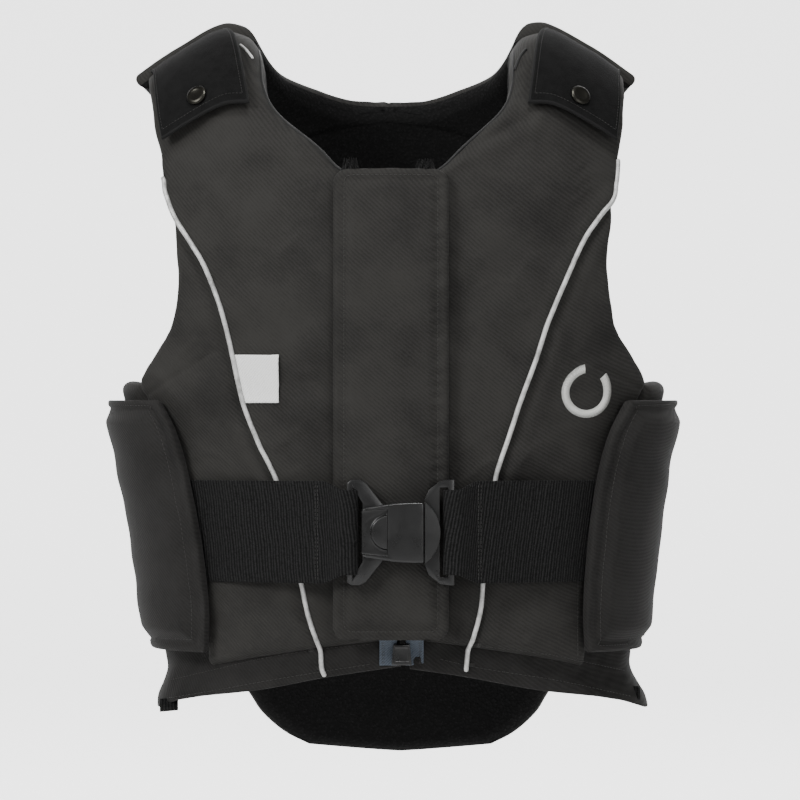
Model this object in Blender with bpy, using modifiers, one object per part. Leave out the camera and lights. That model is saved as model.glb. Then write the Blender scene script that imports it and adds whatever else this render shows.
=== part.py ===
"""Equestrian body protector: a padded front-zip vest, as worn with nobody in it.

Metres, +Z up, the front faces -Y, and left and right are the wearer's, so left is +X.
The origin is between the shoulders, at the height where the straps sit on them.
"""
import math

import bmesh
import bpy
from mathutils import Matrix, Vector

# The wearer's form, inside the padding
HALF_WIDTH = 0.165
FRONT_DEPTH = 0.100
BACK_DEPTH = 0.088
CHEST_DROP = 0.1615
TRUNK_LENGTH = 0.271
SHOULDER_FALL = 0.037
SIDE_SQUARENESS = 2.4
SHOULDER_SQUARENESS = 2.2
SLOPE_ALLOWANCE = 1.17

# Padding and cloth
FOAM = 0.018
FOAM_EDGE = 0.006
BAND_THICKNESS = 0.003
LINING_THICKNESS = 0.0012
SEAM_GAP = 0.0011
GAP = 0.0003
STRAP_LIFT = 0.008

# Side wings
WING_THICKNESS = 0.013
WING_EDGE = 0.0045

# Shoulder flaps and their snap caps
FLAP_THICKNESS = 0.0028
FLAP_STAND_OFF = 0.0055
SNAP_DIAMETER = 0.015
SNAP_HEIGHT = 0.0026

# Zip, with its cover and its foot
ZIP_OFFSET = 0.006
CHAIN_WIDTH = 0.0055
CHAIN_THICKNESS = 0.002
TAPE_WIDTH = 0.0125
TAPE_THICKNESS = 0.0008
ZIP_BOX_WIDTH = 0.0145
ZIP_BOX_HEIGHT = 0.020
ZIP_BOX_THICKNESS = 0.0045
PLACKET_WIDTH = 0.081
PLACKET_ABOVE_HEM = 0.0194
PLACKET_TOP = 0.0815
PLACKET_THICKNESS = 0.009
PLACKET_CORNER = 0.010
PLACKET_EDGE = 0.0032

# Piping and label
PIPING_DIAMETER = 0.0034
LABEL_WIDTH = 0.032
LABEL_THICKNESS = 0.0005

# Waist elastic and buckle
ELASTIC_WIDTH = 0.0715
ELASTIC_THICKNESS = 0.0022
ELASTIC_TOP_LEVEL = -0.513
ELASTIC_FOLD_BACK = 0.038
BUCKLE_BAR = 0.0042
BUCKLE_THICKNESS = 0.0118
BUCKLE_BODY_LENGTH = 0.0435
BUCKLE_BODY_HEIGHT = 0.045
BUCKLE_FRAME_HEIGHT = 0.0735
BUCKLE_FRAME_THICKNESS = 0.0042
BUCKLE_SLOT = 0.0062
BUCKLE_ARM = 0.0054
BUCKLE_EDGE = 0.0012
PLUG_BASE_LENGTH = 0.0110
PLUG_TONGUE_LENGTH = 0.028
PLUG_TONGUE_THICKNESS = 0.0052
RECESS_LENGTH = 0.0165
RECESS_HEIGHT = 0.034
RECESS_DEPTH = 0.0022
THUMB_RADIUS = 0.0118

# Sections of the form. Level 1 is the shoulder line, 0 the chest line, -1 the front hem.
# level, then shares: half width, front depth, back depth, and sideways sway of half width
SECTIONS = (
    (1.00, 1.15, 1.00, 1.00, -0.034),
    (0.50, 1.15, 1.00, 1.00, -0.020),
    (0.00, 1.15, 1.00, 1.00, 0.000),
    (-0.28, 1.08, 1.00, 0.98, 0.000),
    (-0.50, 1.00, 1.00, 0.93, 0.000),
    (-0.75, 0.94, 0.99, 0.89, 0.010),
    (-0.95, 0.90, 0.98, 0.88, 0.015),
    (-1.02, 0.905, 0.98, 0.88, 0.017),
    (-1.10, 0.985, 0.985, 0.92, 0.022),
    (-1.35, 1.04, 1.00, 0.98, 0.035),
)

# The shoulder line from the neck outwards: share of half width, share of the fall
SHOULDER_LINE = (
    (0.000, -0.20),
    (0.300, -0.10),
    (0.500, 0.20),
    (0.600, 0.06),
    (0.715, 0.00),
    (0.910, 0.45),
    (1.090, 1.00),
    (1.300, 1.60),
)

# Rows of the front: neck side level and across, arm side level and across. 0 across is the zip.
FRONT_ROWS = (
    (-0.925, 0.00, -1.000, 0.820),
    (-0.840, 0.00, -0.900, 0.840),
    (-0.720, 0.00, -0.760, 0.850),
    (-0.580, 0.00, -0.610, 0.860),
    (-0.430, 0.00, -0.460, 0.870),
    (-0.290, 0.00, -0.340, 0.892),
    (-0.170, 0.00, -0.262, 0.925),
    (-0.060, 0.00, -0.190, 0.868),
    (0.050, 0.00, -0.100, 0.780),
    (0.160, 0.00, 0.020, 0.748),
    (0.270, 0.00, 0.140, 0.755),
    (0.292, 0.140, 0.270, 0.783),
    (0.345, 0.235, 0.380, 0.800),
    (0.415, 0.325, 0.490, 0.820),
    (0.500, 0.398, 0.600, 0.830),
    (0.600, 0.432, 0.680, 0.836),
    (0.740, 0.440, 0.755, 0.840),
    (0.820, 0.445, 0.830, 0.842),
    (0.880, 0.448, 0.885, 0.844),
    (0.930, 0.450, 0.930, 0.845),
    (0.970, 0.450, 0.970, 0.845),
)

# Rows of the back, from the tail up to the strap ends, in the same columns
BACK_ROWS = (
    (-1.270, 0.00, -1.250, 0.380),
    (-1.235, 0.00, -1.215, 0.480),
    (-1.190, 0.00, -1.160, 0.575),
    (-1.130, 0.00, -1.100, 0.645),
    (-1.060, 0.00, -1.045, 0.750),
    (-0.980, 0.00, -1.000, 0.880),
    (-0.860, 0.00, -0.880, 0.885),
    (-0.700, 0.00, -0.710, 0.885),
    (-0.540, 0.00, -0.550, 0.885),
    (-0.380, 0.00, -0.400, 0.890),
    (-0.220, 0.00, -0.290, 0.912),
    (-0.080, 0.00, -0.200, 0.873),
    (0.060, 0.00, -0.100, 0.785),
    (0.190, 0.00, 0.020, 0.750),
    (0.310, 0.00, 0.140, 0.755),
    (0.420, 0.00, 0.270, 0.776),
    (0.520, 0.00, 0.390, 0.790),
    (0.535, 0.14, 0.500, 0.812),
    (0.590, 0.26, 0.610, 0.828),
    (0.690, 0.355, 0.720, 0.840),
    (0.800, 0.410, 0.830, 0.850),
    (0.900, 0.440, 0.920, 0.857),
    (1.000, 0.452, 1.000, 0.862),
)

# Foot of the padding and hem of the band, by across: across, foot level, hem level
HEM_LINE = (
    (0.000, -0.925, -0.996),
    (0.320, -0.951, -1.025),
    (0.600, -0.976, -1.060),
    (0.820, -1.004, -1.080),
    (0.890, -1.006, -1.090),
    (0.930, -0.985, -1.098),
    (1.000, -0.980, -1.124),
)

# Wing, from its top to its foot: level of the row, across of its front edge
WING_ROWS = (
    (-0.305, 0.818),
    (-0.400, 0.778),
    (-0.560, 0.757),
    (-0.720, 0.747),
    (-0.850, 0.752),
    (-0.962, 0.772),
)

# Curve of the piping: level, across on the wearer's right, across on the wearer's left
PIPING_LINE = (
    (0.300, 0.765, 0.785),
    (0.230, 0.750, 0.755),
    (0.165, 0.722, 0.704),
    (0.095, 0.684, 0.645),
    (0.030, 0.634, 0.598),
    (-0.070, 0.587, 0.548),
    (-0.180, 0.562, 0.506),
    (-0.304, 0.541, 0.457),
    (-0.408, 0.503, 0.425),
    (-0.510, 0.446, 0.391),
    (-0.650, 0.402, 0.368),
    (-0.787, 0.379, 0.353),
    (-0.860, 0.362, 0.345),
    (-0.938, 0.328, 0.315),
    (-1.012, 0.300, 0.287),
)

# Flap corners: root level and foot level, then the turns of its neck side and its arm side
FLAP_ROWS = (
    (0.985, 0.985, 29.0, 51.0),
    (0.840, 0.830, 27.0, 49.5),
    (0.650, 0.615, 24.8, 47.4),
    (0.490, 0.425, 22.7, 44.8),
)

WING_BACK_TURN = 124.0
SIDE_TOP_LEVEL = -0.250
SIDE_FOOT_LEVEL = -0.955
BAND_END_TURN = 87.5
LINING_FOOT_LEVEL = -0.90
LABEL_TOP_LEVEL = -0.190
LABEL_FOOT_LEVEL = -0.312
ELASTIC_END_TURN = 66.0
BACK_COLUMNS = 7
PLACKET_LENGTH = CHEST_DROP - HEM_LINE[0][2] * TRUNK_LENGTH - PLACKET_ABOVE_HEM - PLACKET_TOP
ELASTIC_TOP = CHEST_DROP - ELASTIC_TOP_LEVEL * TRUNK_LENGTH
BUCKLE_LEVEL = (CHEST_DROP - ELASTIC_TOP - ELASTIC_WIDTH / 2) / TRUNK_LENGTH
PLACKET_FACE = FOAM + 5 * GAP + TAPE_THICKNESS + PLACKET_THICKNESS
SOCKET_BAR_X = ZIP_OFFSET - 0.036
PLUG_BAR_X = ZIP_OFFSET + 0.0345


def read(table, column, at):
    """Smooth value of one column of a table, at a place along the table's first column."""
    rows = sorted(table)
    places = [row[0] for row in rows]
    values = [row[column] for row in rows]
    last = len(rows) - 1
    at = min(max(at, places[0]), places[last])
    i = min(max(sum(place <= at for place in places) - 1, 0), last - 1)

    def slope(j):
        before = max(j - 1, 0)
        after = min(j + 1, last)
        return (values[after] - values[before]) / (places[after] - places[before])

    span = places[i + 1] - places[i]
    t = (at - places[i]) / span
    start = (2 * t**3 - 3 * t**2 + 1) * values[i] + (t**3 - 2 * t**2 + t) * span * slope(i)
    end = (3 * t**2 - 2 * t**3) * values[i + 1] + (t**3 - t**2) * span * slope(i + 1)
    return start + end


def signed_power(value, power):
    return math.copysign(abs(value) ** power, value)


def turn_of(across):
    """Turn in degrees from centre front that gives a share across the half width."""
    return math.degrees(math.asin(signed_power(min(max(across, -1), 1), SIDE_SQUARENESS / 2)))


def half_width(level, stand):
    return HALF_WIDTH * read(SECTIONS, 1, level) + stand


def form(side, turn, level, stand):
    """Point over the wearer's form.

    side is 1 for the wearer's left and -1 for the right. turn runs from 0 at centre front through
    90 at the side to 180 at centre back. stand is how far the point is out from the form.
    """
    angle = math.radians(turn)
    out = half_width(level, stand) * signed_power(math.sin(angle), 2 / SIDE_SQUARENESS)
    deep = signed_power(math.cos(angle), 2 / SIDE_SQUARENESS)
    over = 1.0
    z = -CHEST_DROP + level * TRUNK_LENGTH
    if level > 0:
        lean = math.radians(90 * level)
        rise = signed_power(math.sin(lean), 2 / SHOULDER_SQUARENESS)
        over = signed_power(math.cos(lean), 2 / SHOULDER_SQUARENESS)
        shoulder = -SHOULDER_FALL * read(SHOULDER_LINE, 1, abs(out) / HALF_WIDTH)
        z = -CHEST_DROP + (shoulder + stand * SLOPE_ALLOWANCE + CHEST_DROP) * rise
    if turn < 90:
        depth = FRONT_DEPTH * read(SECTIONS, 2, level) + stand
    else:
        depth = BACK_DEPTH * read(SECTIONS, 3, level) + stand
    sway = HALF_WIDTH * read(SECTIONS, 4, level)
    return Vector((side * out + sway, -depth * deep * over, z))


def level_of(height):
    """Level of a height below the chest line."""
    return (height + CHEST_DROP) / TRUNK_LENGTH


def front_level_of(height, stand):
    """Level at centre front of a height above or below the chest line."""
    if height <= -CHEST_DROP:
        return level_of(height)
    top = -SHOULDER_FALL * SHOULDER_LINE[0][1] + stand * SLOPE_ALLOWANCE + CHEST_DROP
    rise = (height + CHEST_DROP) / top
    return math.degrees(math.asin(rise ** (SHOULDER_SQUARENESS / 2))) / 90


def front_turn_at(side, x, level, stand):
    """Turn at which the front, at a level and stand, crosses a sideways place x."""
    sway = HALF_WIDTH * read(SECTIONS, 4, level)
    return turn_of(side * (x - sway) / half_width(level, stand))


def cover_stand(across, level):
    """Stand of the outer face of the fronts: the padding, then the thinner band below it."""
    foot = read(HEM_LINE, 1, min(abs(across), 1.0))
    band_face = FOAM / 2 + BAND_THICKNESS / 2
    rim = FOAM_EDGE / TRUNK_LENGTH
    return band_face + (FOAM - band_face) * smooth_step(level, foot - 1.3 * rim, foot + 0.7 * rim)


def make_material(name, colour, roughness, metallic=0.0):
    material = bpy.data.materials.new(name)
    material.use_nodes = True
    shader = material.node_tree.nodes["Principled BSDF"]
    shader.inputs["Base Color"].default_value = (*colour, 1.0)
    shader.inputs["Roughness"].default_value = roughness
    shader.inputs["Metallic"].default_value = metallic
    material.diffuse_color = (*colour, 1.0)
    return material


def add_object(name, mesh, collection, material=None):
    item = bpy.data.objects.new(name, mesh)
    collection.objects.link(item)
    if material:
        mesh.materials.append(material)
    return item


def grid_mesh(name, halves):
    """Mesh of one or more grids of points, welded where their edges meet."""
    shape = bmesh.new()
    for rows in halves:
        made = [[shape.verts.new(point) for point in row] for row in rows]
        for low, high in zip(made, made[1:]):
            for i in range(len(low) - 1):
                shape.faces.new((low[i], low[i + 1], high[i + 1], high[i]))
    bmesh.ops.remove_doubles(shape, verts=shape.verts, dist=0.00002)
    bmesh.ops.recalc_face_normals(shape, faces=shape.faces)
    mesh = bpy.data.meshes.new(name)
    shape.to_mesh(mesh)
    shape.free()
    return mesh


def padded(name, halves, thickness, edge, material, segments=2):
    """Sheet of points given its thickness both ways, with rounded rims."""
    item = add_object(name, grid_mesh(name, halves), parts, material)
    wall = item.modifiers.new("Wall", "SOLIDIFY")
    wall.thickness = thickness
    wall.offset = 0.0
    if edge:
        rim = item.modifiers.new("Rim", "BEVEL")
        rim.width = edge
        rim.segments = segments
        rim.limit_method = "ANGLE"
        rim.angle_limit = math.radians(50)
    item.data.polygons.foreach_set("use_smooth", [True] * len(item.data.polygons))
    return item


def ruled(side, rows, columns, stand, back=False, centre=None):
    """Grid between a neck side edge and an arm side edge, both given by level and across."""
    grid = []
    for near_level, near_across, far_level, far_across in rows:
        near = turn_of(near_across)
        if centre is not None and near_across == 0.0:
            near = front_turn_at(side, centre, near_level, stand)
        far = turn_of(far_across)
        line = []
        for i in range(columns + 1):
            share = i / columns
            turn = near + (far - near) * share
            level = near_level + (far_level - near_level) * share
            lift = STRAP_LIFT * smooth_step(level, 0.72, 0.97) if back else 0.0
            line.append(form(side, 180 - turn if back else turn, level, stand + lift))
        grid.append(line)
    return grid


def smooth_step(value, low, high):
    share = min(max((value - low) / (high - low), 0), 1)
    return share * share * (3 - 2 * share)


def make_fronts():
    """Foam-padded fronts, each from the zip to the side seam and up over the chest."""
    for side, name in ((1, "front_panel_left"), (-1, "front_panel_right")):
        centre = ZIP_OFFSET + side * (CHAIN_WIDTH / 2 + GAP)
        rows = ruled(side, FRONT_ROWS, 8, FOAM / 2, centre=centre)
        padded(name, [rows], FOAM, FOAM_EDGE, shell)


def make_hem_bands():
    """Thin hem bands that hang under the padding of the fronts."""
    columns = 14
    for side, name in ((1, "hem_band_left"), (-1, "hem_band_right")):
        grid = []
        for step in range(4):
            line = []
            for i in range(columns + 1):
                first = turn_of(ZIP_OFFSET * side / half_width(-1.0, FOAM / 2))
                turn = first + (BAND_END_TURN - first) * i / columns
                across = math.sin(math.radians(max(turn, 0))) ** (2 / SIDE_SQUARENESS)
                foot = read(HEM_LINE, 1, across) - (SEAM_GAP + GAP) / TRUNK_LENGTH
                hem = read(HEM_LINE, 2, across)
                level = foot + (hem - foot) * step / 3
                line.append(form(side, turn, level, FOAM / 2))
            grid.append(line)
        for line in grid:
            edge = ZIP_OFFSET + side * (CHAIN_WIDTH / 2 + GAP)
            line[0].x = edge
        padded(name, [grid], BAND_THICKNESS, 0.0, shell)


def make_back():
    """Foam-padded back in one piece, with both shoulder straps and the tail."""
    halves = [ruled(side, BACK_ROWS, BACK_COLUMNS, FOAM / 2, back=True) for side in (1, -1)]
    padded("back_panel", halves, FOAM, FOAM_EDGE, shell)


def make_lining():
    """Knit lining on the inner face of the back, below the neck edge and between the arms."""
    halves = []
    rows = [row for row in BACK_ROWS if LINING_FOOT_LEVEL < row[0] <= 0.52]
    for side in (1, -1):
        grid = ruled(side, rows, BACK_COLUMNS, -SEAM_GAP - LINING_THICKNESS / 2, back=True)
        top = [point.lerp(below, 0.3) for point, below in zip(grid[-1], grid[-2])]
        halves.append([line[:-1] for line in grid[:-1] + [top]])
    padded("back_lining", halves, LINING_THICKNESS, 0.0, lining)


def make_sides():
    """Padded gussets under the arms, between the fronts and the back."""
    columns = 6
    for side, name in ((1, "side_panel_left"), (-1, "side_panel_right")):
        arm_edge = [(row[2], row[3]) for row in FRONT_ROWS]
        levels = [SIDE_FOOT_LEVEL] + [row[2] for row in FRONT_ROWS if SIDE_FOOT_LEVEL < row[2] <= SIDE_TOP_LEVEL]
        front_edge = [(level, read(arm_edge, 1, level)) for level in levels]
        back_edge = [(row[2], row[3]) for row in BACK_ROWS if SIDE_FOOT_LEVEL < row[2] < SIDE_TOP_LEVEL]
        foot = SIDE_FOOT_LEVEL
        grid = []
        for step in range(len(front_edge)):
            share = step / (len(front_edge) - 1)
            line = []
            for i in range(columns + 1):
                along = i / columns
                near_level = front_edge[step][0]
                near_turn = turn_of(front_edge[step][1])
                far_level = foot + (SIDE_TOP_LEVEL - 0.035 - foot) * share
                far_turn = 180 - turn_of(read(back_edge, 1, far_level))
                seam = math.degrees(SEAM_GAP / BACK_DEPTH)
                turn = (near_turn + seam) + (far_turn - near_turn - 2 * seam) * along
                level = near_level + (far_level - near_level) * along
                bulge = math.sin(math.pi * along)
                level += 0.018 * bulge if share == 1 else 0
                line.append(form(side, turn, level, FOAM / 2))
            grid.append(line)
        padded(name, [grid], FOAM, FOAM_EDGE, shell, segments=1)


def make_wings():
    """Padded covers that stand off over the sides at the waist."""
    columns = 8
    stand = FOAM + ELASTIC_THICKNESS + 5 * GAP + WING_THICKNESS / 2
    for side, name in ((1, "side_wing_left"), (-1, "side_wing_right")):
        grid = []
        for level, across in WING_ROWS:
            first = turn_of(across)
            line = []
            for i in range(columns + 1):
                turn = first + (WING_BACK_TURN - first) * i / columns
                line.append(form(side, turn, level, stand))
            grid.append(line)
        padded(name, [grid], WING_THICKNESS, WING_EDGE, shell, segments=1)


def flap_point(side, along, across, stand):
    """Point of a shoulder flap: along from root to foot, across from neck side to arm side."""
    table = [(i / (len(FLAP_ROWS) - 1), *row) for i, row in enumerate(FLAP_ROWS)]
    near_level, far_level, near_turn, far_turn = (read(table, k, along) for k in (1, 2, 3, 4))
    level = near_level + (far_level - near_level) * across
    turn = near_turn + (far_turn - near_turn) * across
    return form(side, turn, level, stand)


def flap_stand(along):
    return FOAM + 3 * GAP + FLAP_THICKNESS / 2 + FLAP_STAND_OFF * smooth_step(along, 0.15, 0.95)


def make_flaps():
    """Pile-faced tabs from the strap ends down over the fronts, each with a snap cap."""
    rows = 12
    columns = 7
    for side, word in ((1, "left"), (-1, "right")):
        grid = [
            [flap_point(side, j / rows, i / columns, flap_stand(j / rows)) for i in range(columns + 1)]
            for j in range(rows + 1)
        ]
        padded(f"shoulder_flap_{word}", [grid], FLAP_THICKNESS, 0.0, pile)
        make_snap(side, f"snap_cap_{word}")


def make_snap(side, name):
    """Domed snap cap, turned from a profile, seated on the face of a flap."""
    along = 0.88
    face = flap_stand(along) + FLAP_THICKNESS / 2 + GAP
    seat = flap_point(side, along, 0.5, face)
    down = flap_point(side, along + 0.08, 0.5, flap_stand(along + 0.08)) - flap_point(
        side, along - 0.08, 0.5, flap_stand(along - 0.08))
    sideways = flap_point(side, along, 0.7, face) - flap_point(side, along, 0.3, face)
    normal = down.cross(sideways).normalized()
    if normal.y > 0:
        normal = -normal
    radius = SNAP_DIAMETER / 2
    crown = [(0.0, 1.0), (0.45, 0.96), (0.78, 0.78), (1.0, 0.42), (1.0, 0.10), (0.0, 0.10)]
    shape = bmesh.new()
    verts = [shape.verts.new((share * radius, 0, height * SNAP_HEIGHT)) for share, height in crown]
    for first, second in zip(verts, verts[1:]):
        shape.edges.new((first, second))
    mesh = bpy.data.meshes.new(name)
    shape.to_mesh(mesh)
    shape.free()
    item = add_object(name, mesh, parts, plastic)
    turned = item.modifiers.new("Turned", "SCREW")
    turned.steps = 24
    turned.render_steps = 24
    turned.use_merge_vertices = True
    turned.merge_threshold = 0.00005
    item.matrix_world = Matrix.Translation(seat) @ normal.to_track_quat("Z", "Y").to_matrix().to_4x4()


def make_zip():
    """Zip tapes, the closed chain between them and the box at its foot."""
    rows = 36
    top = front_level_of(-PLACKET_TOP - 0.004, FOAM)
    foot = read(HEM_LINE, 2, 0.0) + 0.004

    def strip(side, near, far, stand_up, low, high):
        grid = []
        for j in range(rows + 1):
            level = low + (high - low) * (j / rows) ** 1.6
            line = []
            for x in (near, far):
                stand = cover_stand(0.08, level) + stand_up
                point = form(side, front_turn_at(side, x, level, stand), level, stand)
                line.append(point)
            grid.append(line)
        return grid

    lie = 2 * GAP + TAPE_THICKNESS / 2
    for side, name in ((1, "zip_tape_left"), (-1, "zip_tape_right")):
        near = ZIP_OFFSET + side * (CHAIN_WIDTH / 2 + GAP)
        padded(name, [strip(side, near, near + side * TAPE_WIDTH, lie, foot, top)], TAPE_THICKNESS, 0.0, tape)
    box_top = foot + ZIP_BOX_HEIGHT / TRUNK_LENGTH
    half = CHAIN_WIDTH / 2
    sunk = lie + (TAPE_THICKNESS - CHAIN_THICKNESS) / 2
    chain = strip(1, ZIP_OFFSET - half, ZIP_OFFSET + half, sunk, box_top + GAP / TRUNK_LENGTH, top)
    padded("zip_chain", [chain], CHAIN_THICKNESS, 0.0, teeth)
    half = ZIP_BOX_WIDTH / 2
    lift = 7 * GAP + TAPE_THICKNESS + ZIP_BOX_THICKNESS / 2
    box = strip(1, ZIP_OFFSET - half, ZIP_OFFSET + half, lift, foot + 0.002, box_top - 0.022)
    padded("zip_box", [box[::3]], ZIP_BOX_THICKNESS, 0.0008, plastic, segments=1)


def make_placket():
    """Padded flap over the zip, with rounded corners."""
    stand = PLACKET_FACE - PLACKET_THICKNESS / 2
    middle = ZIP_OFFSET * -0.25
    columns = 4
    grid = []
    corner = [0.0, 0.03, 0.25, 0.6, 1.0]
    heights = [PLACKET_CORNER * share for share in corner]
    steps = 18
    body = PLACKET_LENGTH - 2 * PLACKET_CORNER
    drops = heights + [PLACKET_CORNER + body * (j + 1) / steps for j in range(steps)]
    drops += [PLACKET_LENGTH - height for height in reversed(heights[:-1])]
    for drop in drops:
        near_end = min(drop, PLACKET_LENGTH - drop)
        short = max(PLACKET_CORNER - near_end, 0)
        inset = PLACKET_CORNER - math.sqrt(max(PLACKET_CORNER**2 - short**2, 0))
        level = front_level_of(-PLACKET_TOP - drop, stand)
        reach = PLACKET_WIDTH / 2 - inset
        line = []
        for i in range(columns + 1):
            x = middle + reach * (2 * i / columns - 1)
            line.append(form(1, front_turn_at(1, x, level, stand), level, stand))
        grid.append(line)
    padded("placket_flap", [grid], PLACKET_THICKNESS, PLACKET_EDGE, shell, segments=1)


def make_piping():
    """Reflective piping along the curved seams of the fronts, down to the hem."""
    arm_edge = [(row[2], row[3]) for row in FRONT_ROWS]
    for side, name, column in ((1, "piping_left", 2), (-1, "piping_right", 1)):
        points = []
        count = 34
        top = PIPING_LINE[0][0]
        foot = PIPING_LINE[-1][0]
        for i in range(count + 1):
            level = foot + (top - foot) * (1 - i / count) ** 1.4
            inside = (FOAM_EDGE + PIPING_DIAMETER / 2) / HALF_WIDTH
            across = min(read(PIPING_LINE, column, level), read(arm_edge, 1, level) - inside)
            stand = cover_stand(across, level) + GAP + PIPING_DIAMETER / 2
            points.append(form(side, turn_of(across), level, stand))
        curve = bpy.data.curves.new(name, "CURVE")
        curve.dimensions = "3D"
        line = curve.splines.new("POLY")
        line.points.add(len(points) - 1)
        for spot, point in zip(line.points, points):
            spot.co = (*point, 1.0)
        curve.bevel_depth = PIPING_DIAMETER / 2
        curve.bevel_resolution = 1
        curve.use_fill_caps = True
        curve.materials.append(reflective)
        parts.objects.link(bpy.data.objects.new(name, curve))


def make_label():
    """Bare white tab, sewn in at the right-hand piping."""
    grid = []
    stand = FOAM + GAP + LABEL_THICKNESS / 2
    for j in range(4):
        level = LABEL_TOP_LEVEL + (LABEL_FOOT_LEVEL - LABEL_TOP_LEVEL) * j / 3
        seam = half_width(level, stand) * read(PIPING_LINE, 1, level) - PIPING_DIAMETER / 2 - 2 * GAP
        if j == 0:
            far = seam - LABEL_WIDTH
        line = []
        for i in range(5):
            across = (seam + (far - seam) * i / 4) / half_width(level, stand)
            line.append(form(-1, turn_of(across), level, stand))
        grid.append(line)
    padded("side_label", [grid], LABEL_THICKNESS, 0.0, label)


def front_face(x, stand, level=BUCKLE_LEVEL):
    """Depth place of the front at a sideways place, by default at the buckle's height."""
    side = 1 if x > 0 else -1
    return form(side, front_turn_at(side, x, level, stand), level, stand).y


def elastic_path(side, bar_x, level):
    """Plan line of a strap: from under the wing, round the buckle's bar and back behind itself."""
    lie = FOAM + GAP + ELASTIC_THICKNESS / 2
    over_piping = FOAM + 2 * GAP + PIPING_DIAMETER + ELASTIC_THICKNESS / 2 + GAP
    doubled = PLACKET_FACE + 4 * GAP + ELASTIC_THICKNESS * 1.5
    radius = loop_radius()
    reach = half_width(level, lie)
    folded = side * bar_x + ELASTIC_FOLD_BACK
    bar = side * bar_x
    placket_edge = bar + ELASTIC_FOLD_BACK * 0.25

    def resting_stand(x):
        low = smooth_step(x, placket_edge, folded * 1.35)
        settled = smooth_step(x, folded * 1.35, reach * 0.80)
        return doubled + (over_piping - doubled) * low + (lie - over_piping) * settled

    centre = Vector((bar_x, bar_depth(bar_x)))
    outer = []
    count = 18
    first = reach * math.sin(math.radians(ELASTIC_END_TURN)) ** (2 / SIDE_SQUARENESS)
    last = bar + BUCKLE_BAR * 0.75
    for i in range(count + 1):
        x = first + (last - first) * (1 - (1 - i / count) ** 1.25)
        rest = front_face(side * x, resting_stand(x), level)
        near_bar = 1 - smooth_step(x, last, last + ELASTIC_FOLD_BACK * 0.4)
        outer.append(Vector((side * x, rest + (centre.y - radius - rest) * near_bar)))
    loop = []
    for i in range(9):
        angle = math.pi * i / 8
        loop.append(centre + Vector((-side * math.sin(angle), -math.cos(angle))) * radius)
    under = []
    spacing = ELASTIC_THICKNESS + GAP
    for i in range(1, 7):
        x = bar + ELASTIC_FOLD_BACK * i / 6
        under.append(Vector((side * x, front_face(side * x, resting_stand(x) - spacing, level))))
    return outer + loop + under


def bar_depth(bar_x):
    """Depth place of a buckle bar's centre line, clear of the placket behind the folded strap."""
    return front_face(bar_x, PLACKET_FACE + 3 * GAP + loop_radius() + ELASTIC_THICKNESS / 2)


def loop_radius():
    """Radius of a strap's middle line round the corners of a buckle bar."""
    return math.hypot(BUCKLE_BAR, BUCKLE_FRAME_THICKNESS) / 2 + 2 * GAP + ELASTIC_THICKNESS / 2


def make_elastic(side, name, bar_x):
    """Wide elastic strap, sewn under a wing and looped round the buckle's bar."""
    rows = 2
    grid = []
    for j in range(rows + 1):
        share = j / rows
        line = []
        for point in elastic_path(side, bar_x, level_of(-ELASTIC_TOP - ELASTIC_WIDTH * share)):
            near_bar = 1 - smooth_step(abs(point.x - bar_x), 0.003, 0.020)
            narrow = BUCKLE_SLOT * near_bar
            height = ELASTIC_WIDTH - 2 * narrow
            z = -ELASTIC_TOP - narrow - height * share
            line.append(Vector((point.x, point.y, z)))
        grid.append(line)
    padded(name, [grid], ELASTIC_THICKNESS, 0.0, elastic)


def flat_outline(name, splines, thickness, place):
    """Flat piece from closed outlines in the X and Z directions, made a mesh."""
    curve = bpy.data.curves.new(name, "CURVE")
    curve.dimensions = "2D"
    curve.fill_mode = "BOTH"
    curve.extrude = thickness / 2
    for points in splines:
        line = curve.splines.new("POLY")
        line.points.add(len(points) - 1)
        for spot, (x, z) in zip(line.points, points):
            spot.co = (x, z, 0.0, 1.0)
        line.use_cyclic_u = True
    outline = bpy.data.objects.new(name, curve)
    parts.objects.link(outline)
    outline.matrix_world = Matrix.Translation(place) @ Matrix.Rotation(math.pi / 2, 4, "X")
    bpy.context.view_layer.update()
    graph = bpy.context.evaluated_depsgraph_get()
    mesh = bpy.data.meshes.new_from_object(outline.evaluated_get(graph))
    shape = bmesh.new()
    shape.from_mesh(mesh)
    bmesh.ops.remove_doubles(shape, verts=shape.verts, dist=0.00001)
    bmesh.ops.recalc_face_normals(shape, faces=shape.faces)
    shape.to_mesh(mesh)
    shape.free()
    matrix = outline.matrix_world.copy()
    bpy.data.objects.remove(outline)
    item = add_object(name, mesh, parts, plastic)
    item.matrix_world = matrix
    return item


def add_box(name, low, high):
    """Box between two corners, kept with the cutters."""
    middle = (Vector(low) + Vector(high)) / 2
    bpy.ops.mesh.primitive_cube_add(size=1.0, location=middle)
    item = bpy.context.active_object
    item.name = name
    item.scale = Vector(high) - Vector(low)
    bpy.ops.object.transform_apply(location=False, rotation=False, scale=True)
    return keep_as_cutter(item)


def keep_as_cutter(item):
    for owner in item.users_collection:
        owner.objects.unlink(item)
    cutters.objects.link(item)
    item.hide_render = True
    item.display_type = "WIRE"
    return item


def combine(item, other, operation):
    step = item.modifiers.new(other.name, "BOOLEAN")
    step.operation = operation
    step.solver = "EXACT"
    step.object = other


def round_edges(item, width, segments=2):
    rim = item.modifiers.new("Rim", "BEVEL")
    rim.width = width
    rim.segments = segments
    rim.limit_method = "ANGLE"
    rim.angle_limit = math.radians(40)


def mirrored(points):
    """Closed outline from its upper half, given from left to right."""
    return points + [(x, -z) for x, z in reversed(points)]


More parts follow.
